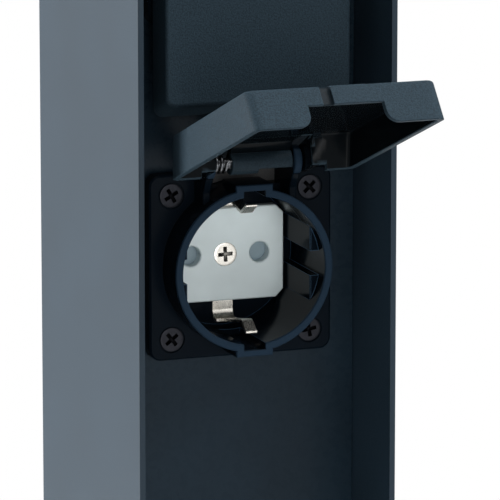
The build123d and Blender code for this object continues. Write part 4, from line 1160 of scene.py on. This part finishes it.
class SOCKETPOST_OT_hinges(bpy.types.Operator):
    """Adds the hinge pins and the lid springs"""

    bl_idname = "object.socketpost_hinges"
    bl_label = "Hinge pins and springs"

    def execute(self, context):
        hinge = context.scene.hinge_sizes
        for name in SOCKETS:
            open_angle = lid_rest_angle(name)
            first_phase = math.degrees(hinge.coil_start)
            end_phase = first_phase - 360 * hinge.turns - math.degrees(open_angle)
            overlap = math.degrees(hinge.tang_overlap)
            coil_path = spring_path(hinge, open_angle, first_phase, end_phase)
            fixed = np.concatenate([spring_leg(hinge), coil_path])
            coil_end = spring_path(hinge, open_angle, end_phase + overlap, end_phase)
            moving = np.concatenate([coil_end, spring_tang(hinge, end_phase)])
            coil = grid_surface(tube(fixed, hinge.wire_radius) + socket_origin(name))
            build_piece(f"{name}_lid_spring_coil", [coil], "post", "spring_steel", [f"{name}_lid_spring"])
            tang = grid_surface(tube(moving, hinge.wire_radius * hinge.tang_share) + socket_origin(name))
            build_piece(f"{name}_lid_spring_tang", [tang], f"{name}_lid", "spring_steel", [])
            pin = grid_surface(pin_grid(hinge) + socket_origin(name))
            build_piece(f"{name}_hinge_rod", [pin], "post", "spring_steel", [f"{name}_hinge_pin"])
        return {"FINISHED"}


def soft_light(name, place, aim, size, power):
    """A square soft light at a place, turned to a point."""
    lamp = bpy.data.lights.new(name, "AREA")
    lamp.shape = "SQUARE"
    lamp.size = size
    lamp.energy = power
    light = add_object(name, lamp)
    light.location = place
    light.rotation_euler = (Vector(aim) - Vector(place)).to_track_quat("-Z", "Y").to_euler()
    return light


def studio_world(settings):
    """White where the camera, a mirror or a clear body sees it, and a dim room light elsewhere."""
    world = bpy.data.worlds.new("studio_room")
    world.use_nodes = True
    world.node_tree.nodes.clear()
    strength = ranged(world, seen_directly(world), settings.ambient, 1.0, 0.0, 1.0)
    white = {"Color": (1.0, 1.0, 1.0, 1.0), "Strength": strength}
    light = add_node(world, "ShaderNodeBackground", white).outputs[0]
    add_node(world, "ShaderNodeOutputWorld", {"Surface": light})
    bpy.context.scene.world = world


def floor_material(settings, colours):
    """Matt studio paper: pale with a faint fibre near the post, and white far from it."""
    material = new_material("matt_studio_paper")
    place = object_place(material)
    fibre = noise(material, place, 1.2, detail=3.0)
    tone = toned(material, fibre, colours.floor, 0.985, 1.0)
    inputs = {"Base Color": tone, "Roughness": ranged(material, fibre, 0.85, 0.95)}
    paper = add_node(material, "ShaderNodeBsdfPrincipled", inputs).outputs[0]
    glow = add_node(material, "ShaderNodeEmission", {"Strength": seen_directly(material)}).outputs[0]
    fade_start, fade_end = settings.floor_radius * 0.35, settings.floor_radius * 0.6
    far = ranged(material, distance(material, place), 0.0, 1.0, fade_start, fade_end)
    both = add_node(material, "ShaderNodeMixShader", {0: far, 1: paper, 2: glow}).outputs[0]
    add_node(material, "ShaderNodeOutputMaterial", {"Surface": both})
    return material


class SOCKETPOST_OT_stage(bpy.types.Operator):
    """Adds the camera, the pale floor and the soft studio light"""

    bl_idname = "object.socketpost_stage"
    bl_label = "Stage"

    def execute(self, context):
        settings, colours = context.scene.stage_settings, context.scene.finish_colours
        scene = context.scene
        aim = Vector(socket_origin("lower")) + Vector((settings.aim_right, 0.0, settings.aim_up))
        cos = math.cos(settings.pitch)
        way = Vector((math.sin(settings.yaw) * cos, math.cos(settings.yaw) * cos, -math.sin(settings.pitch)))
        camera = add_object("camera", bpy.data.cameras.new("camera"))
        camera.data.lens = settings.lens
        camera.data.sensor_width = 36.0
        camera.location = aim - way * settings.distance
        camera.rotation_euler = way.to_track_quat("-Z", "Y").to_euler()
        scene.camera = camera
        middle = (0.0, 0.0, 0.22)
        lamps = {
            "front": ((-0.3, -1.35, 0.45), settings.front_lamp_size, settings.front_power),
            "front_low": ((0.0, -1.4, 0.15), settings.front_lamp_size, settings.front_low_power),
            "top": ((0.0, -0.1, 1.5), settings.lamp_size, settings.top_power),
            "back_top": ((0.0, 0.8, 1.3), settings.lamp_size, settings.back_top_power),
            "right": ((1.0, -0.6, 0.9), settings.lamp_size, settings.right_power),
            "right_top": ((0.8, -0.4, 1.3), settings.lamp_size, settings.right_top_power),
            "left": ((-1.3, 0.6, 0.4), settings.lamp_size, settings.left_power),
        }
        for name, (place, size, power) in lamps.items():
            soft_light(f"{name}_light", place, middle, size, power)
        turn = full_turn(96)
        rim = np.column_stack([np.cos(turn), np.sin(turn), np.zeros(len(turn))]) * settings.floor_radius
        mesh = bpy.data.meshes.new("floor")
        mesh.from_pydata(rim, [], [list(range(len(rim)))])
        mesh.materials.append(floor_material(settings, colours))
        floor = add_object("floor", mesh)
        studio_world(settings)
        scene.view_settings.view_transform = "Standard"
        return {"FINISHED"}


class SOCKETPOST_PT_sidebar(bpy.types.Panel):
    """Lists the steps that dress the socket post"""

    bl_idname = "SOCKETPOST_PT_sidebar"
    bl_label = "Socket post"
    bl_space_type = "VIEW_3D"
    bl_region_type = "UI"
    bl_category = "Socket post"

    def draw(self, context):
        for operator in OPERATORS:
            self.layout.operator(operator.bl_idname)


OPERATORS = (
    SOCKETPOST_OT_finishes,
    SOCKETPOST_OT_lids,
    SOCKETPOST_OT_screws,
    SOCKETPOST_OT_hinges,
    SOCKETPOST_OT_stage,
)
GROUPS = {
    "lid_sizes": LidSizes,
    "hinge_sizes": HingeSizes,
    "screw_sizes": ScrewSizes,
    "finish_colours": FinishColours,
    "stage_settings": StageSettings,
}


def register():
    """Makes the settings, the operators and the panel known to Blender."""
    for name, group in GROUPS.items():
        bpy.utils.register_class(group)
        setattr(bpy.types.Scene, name, bpy.props.PointerProperty(type=group))
    for kind in OPERATORS + (SOCKETPOST_PT_sidebar,):
        bpy.utils.register_class(kind)


def unregister():
    """Takes the panel, the operators and the settings out of Blender again."""
    for kind in (SOCKETPOST_PT_sidebar,) + OPERATORS[::-1]:
        bpy.utils.unregister_class(kind)
    for name, group in GROUPS.items():
        delattr(bpy.types.Scene, name)
        bpy.utils.unregister_class(group)


def main():
    """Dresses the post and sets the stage."""
    register()
    bpy.ops.object.socketpost_finishes()
    bpy.ops.object.socketpost_lids()
    bpy.ops.object.socketpost_screws()
    bpy.ops.object.socketpost_hinges()
    bpy.ops.object.socketpost_stage()


if __name__ == "__main__":
    main()
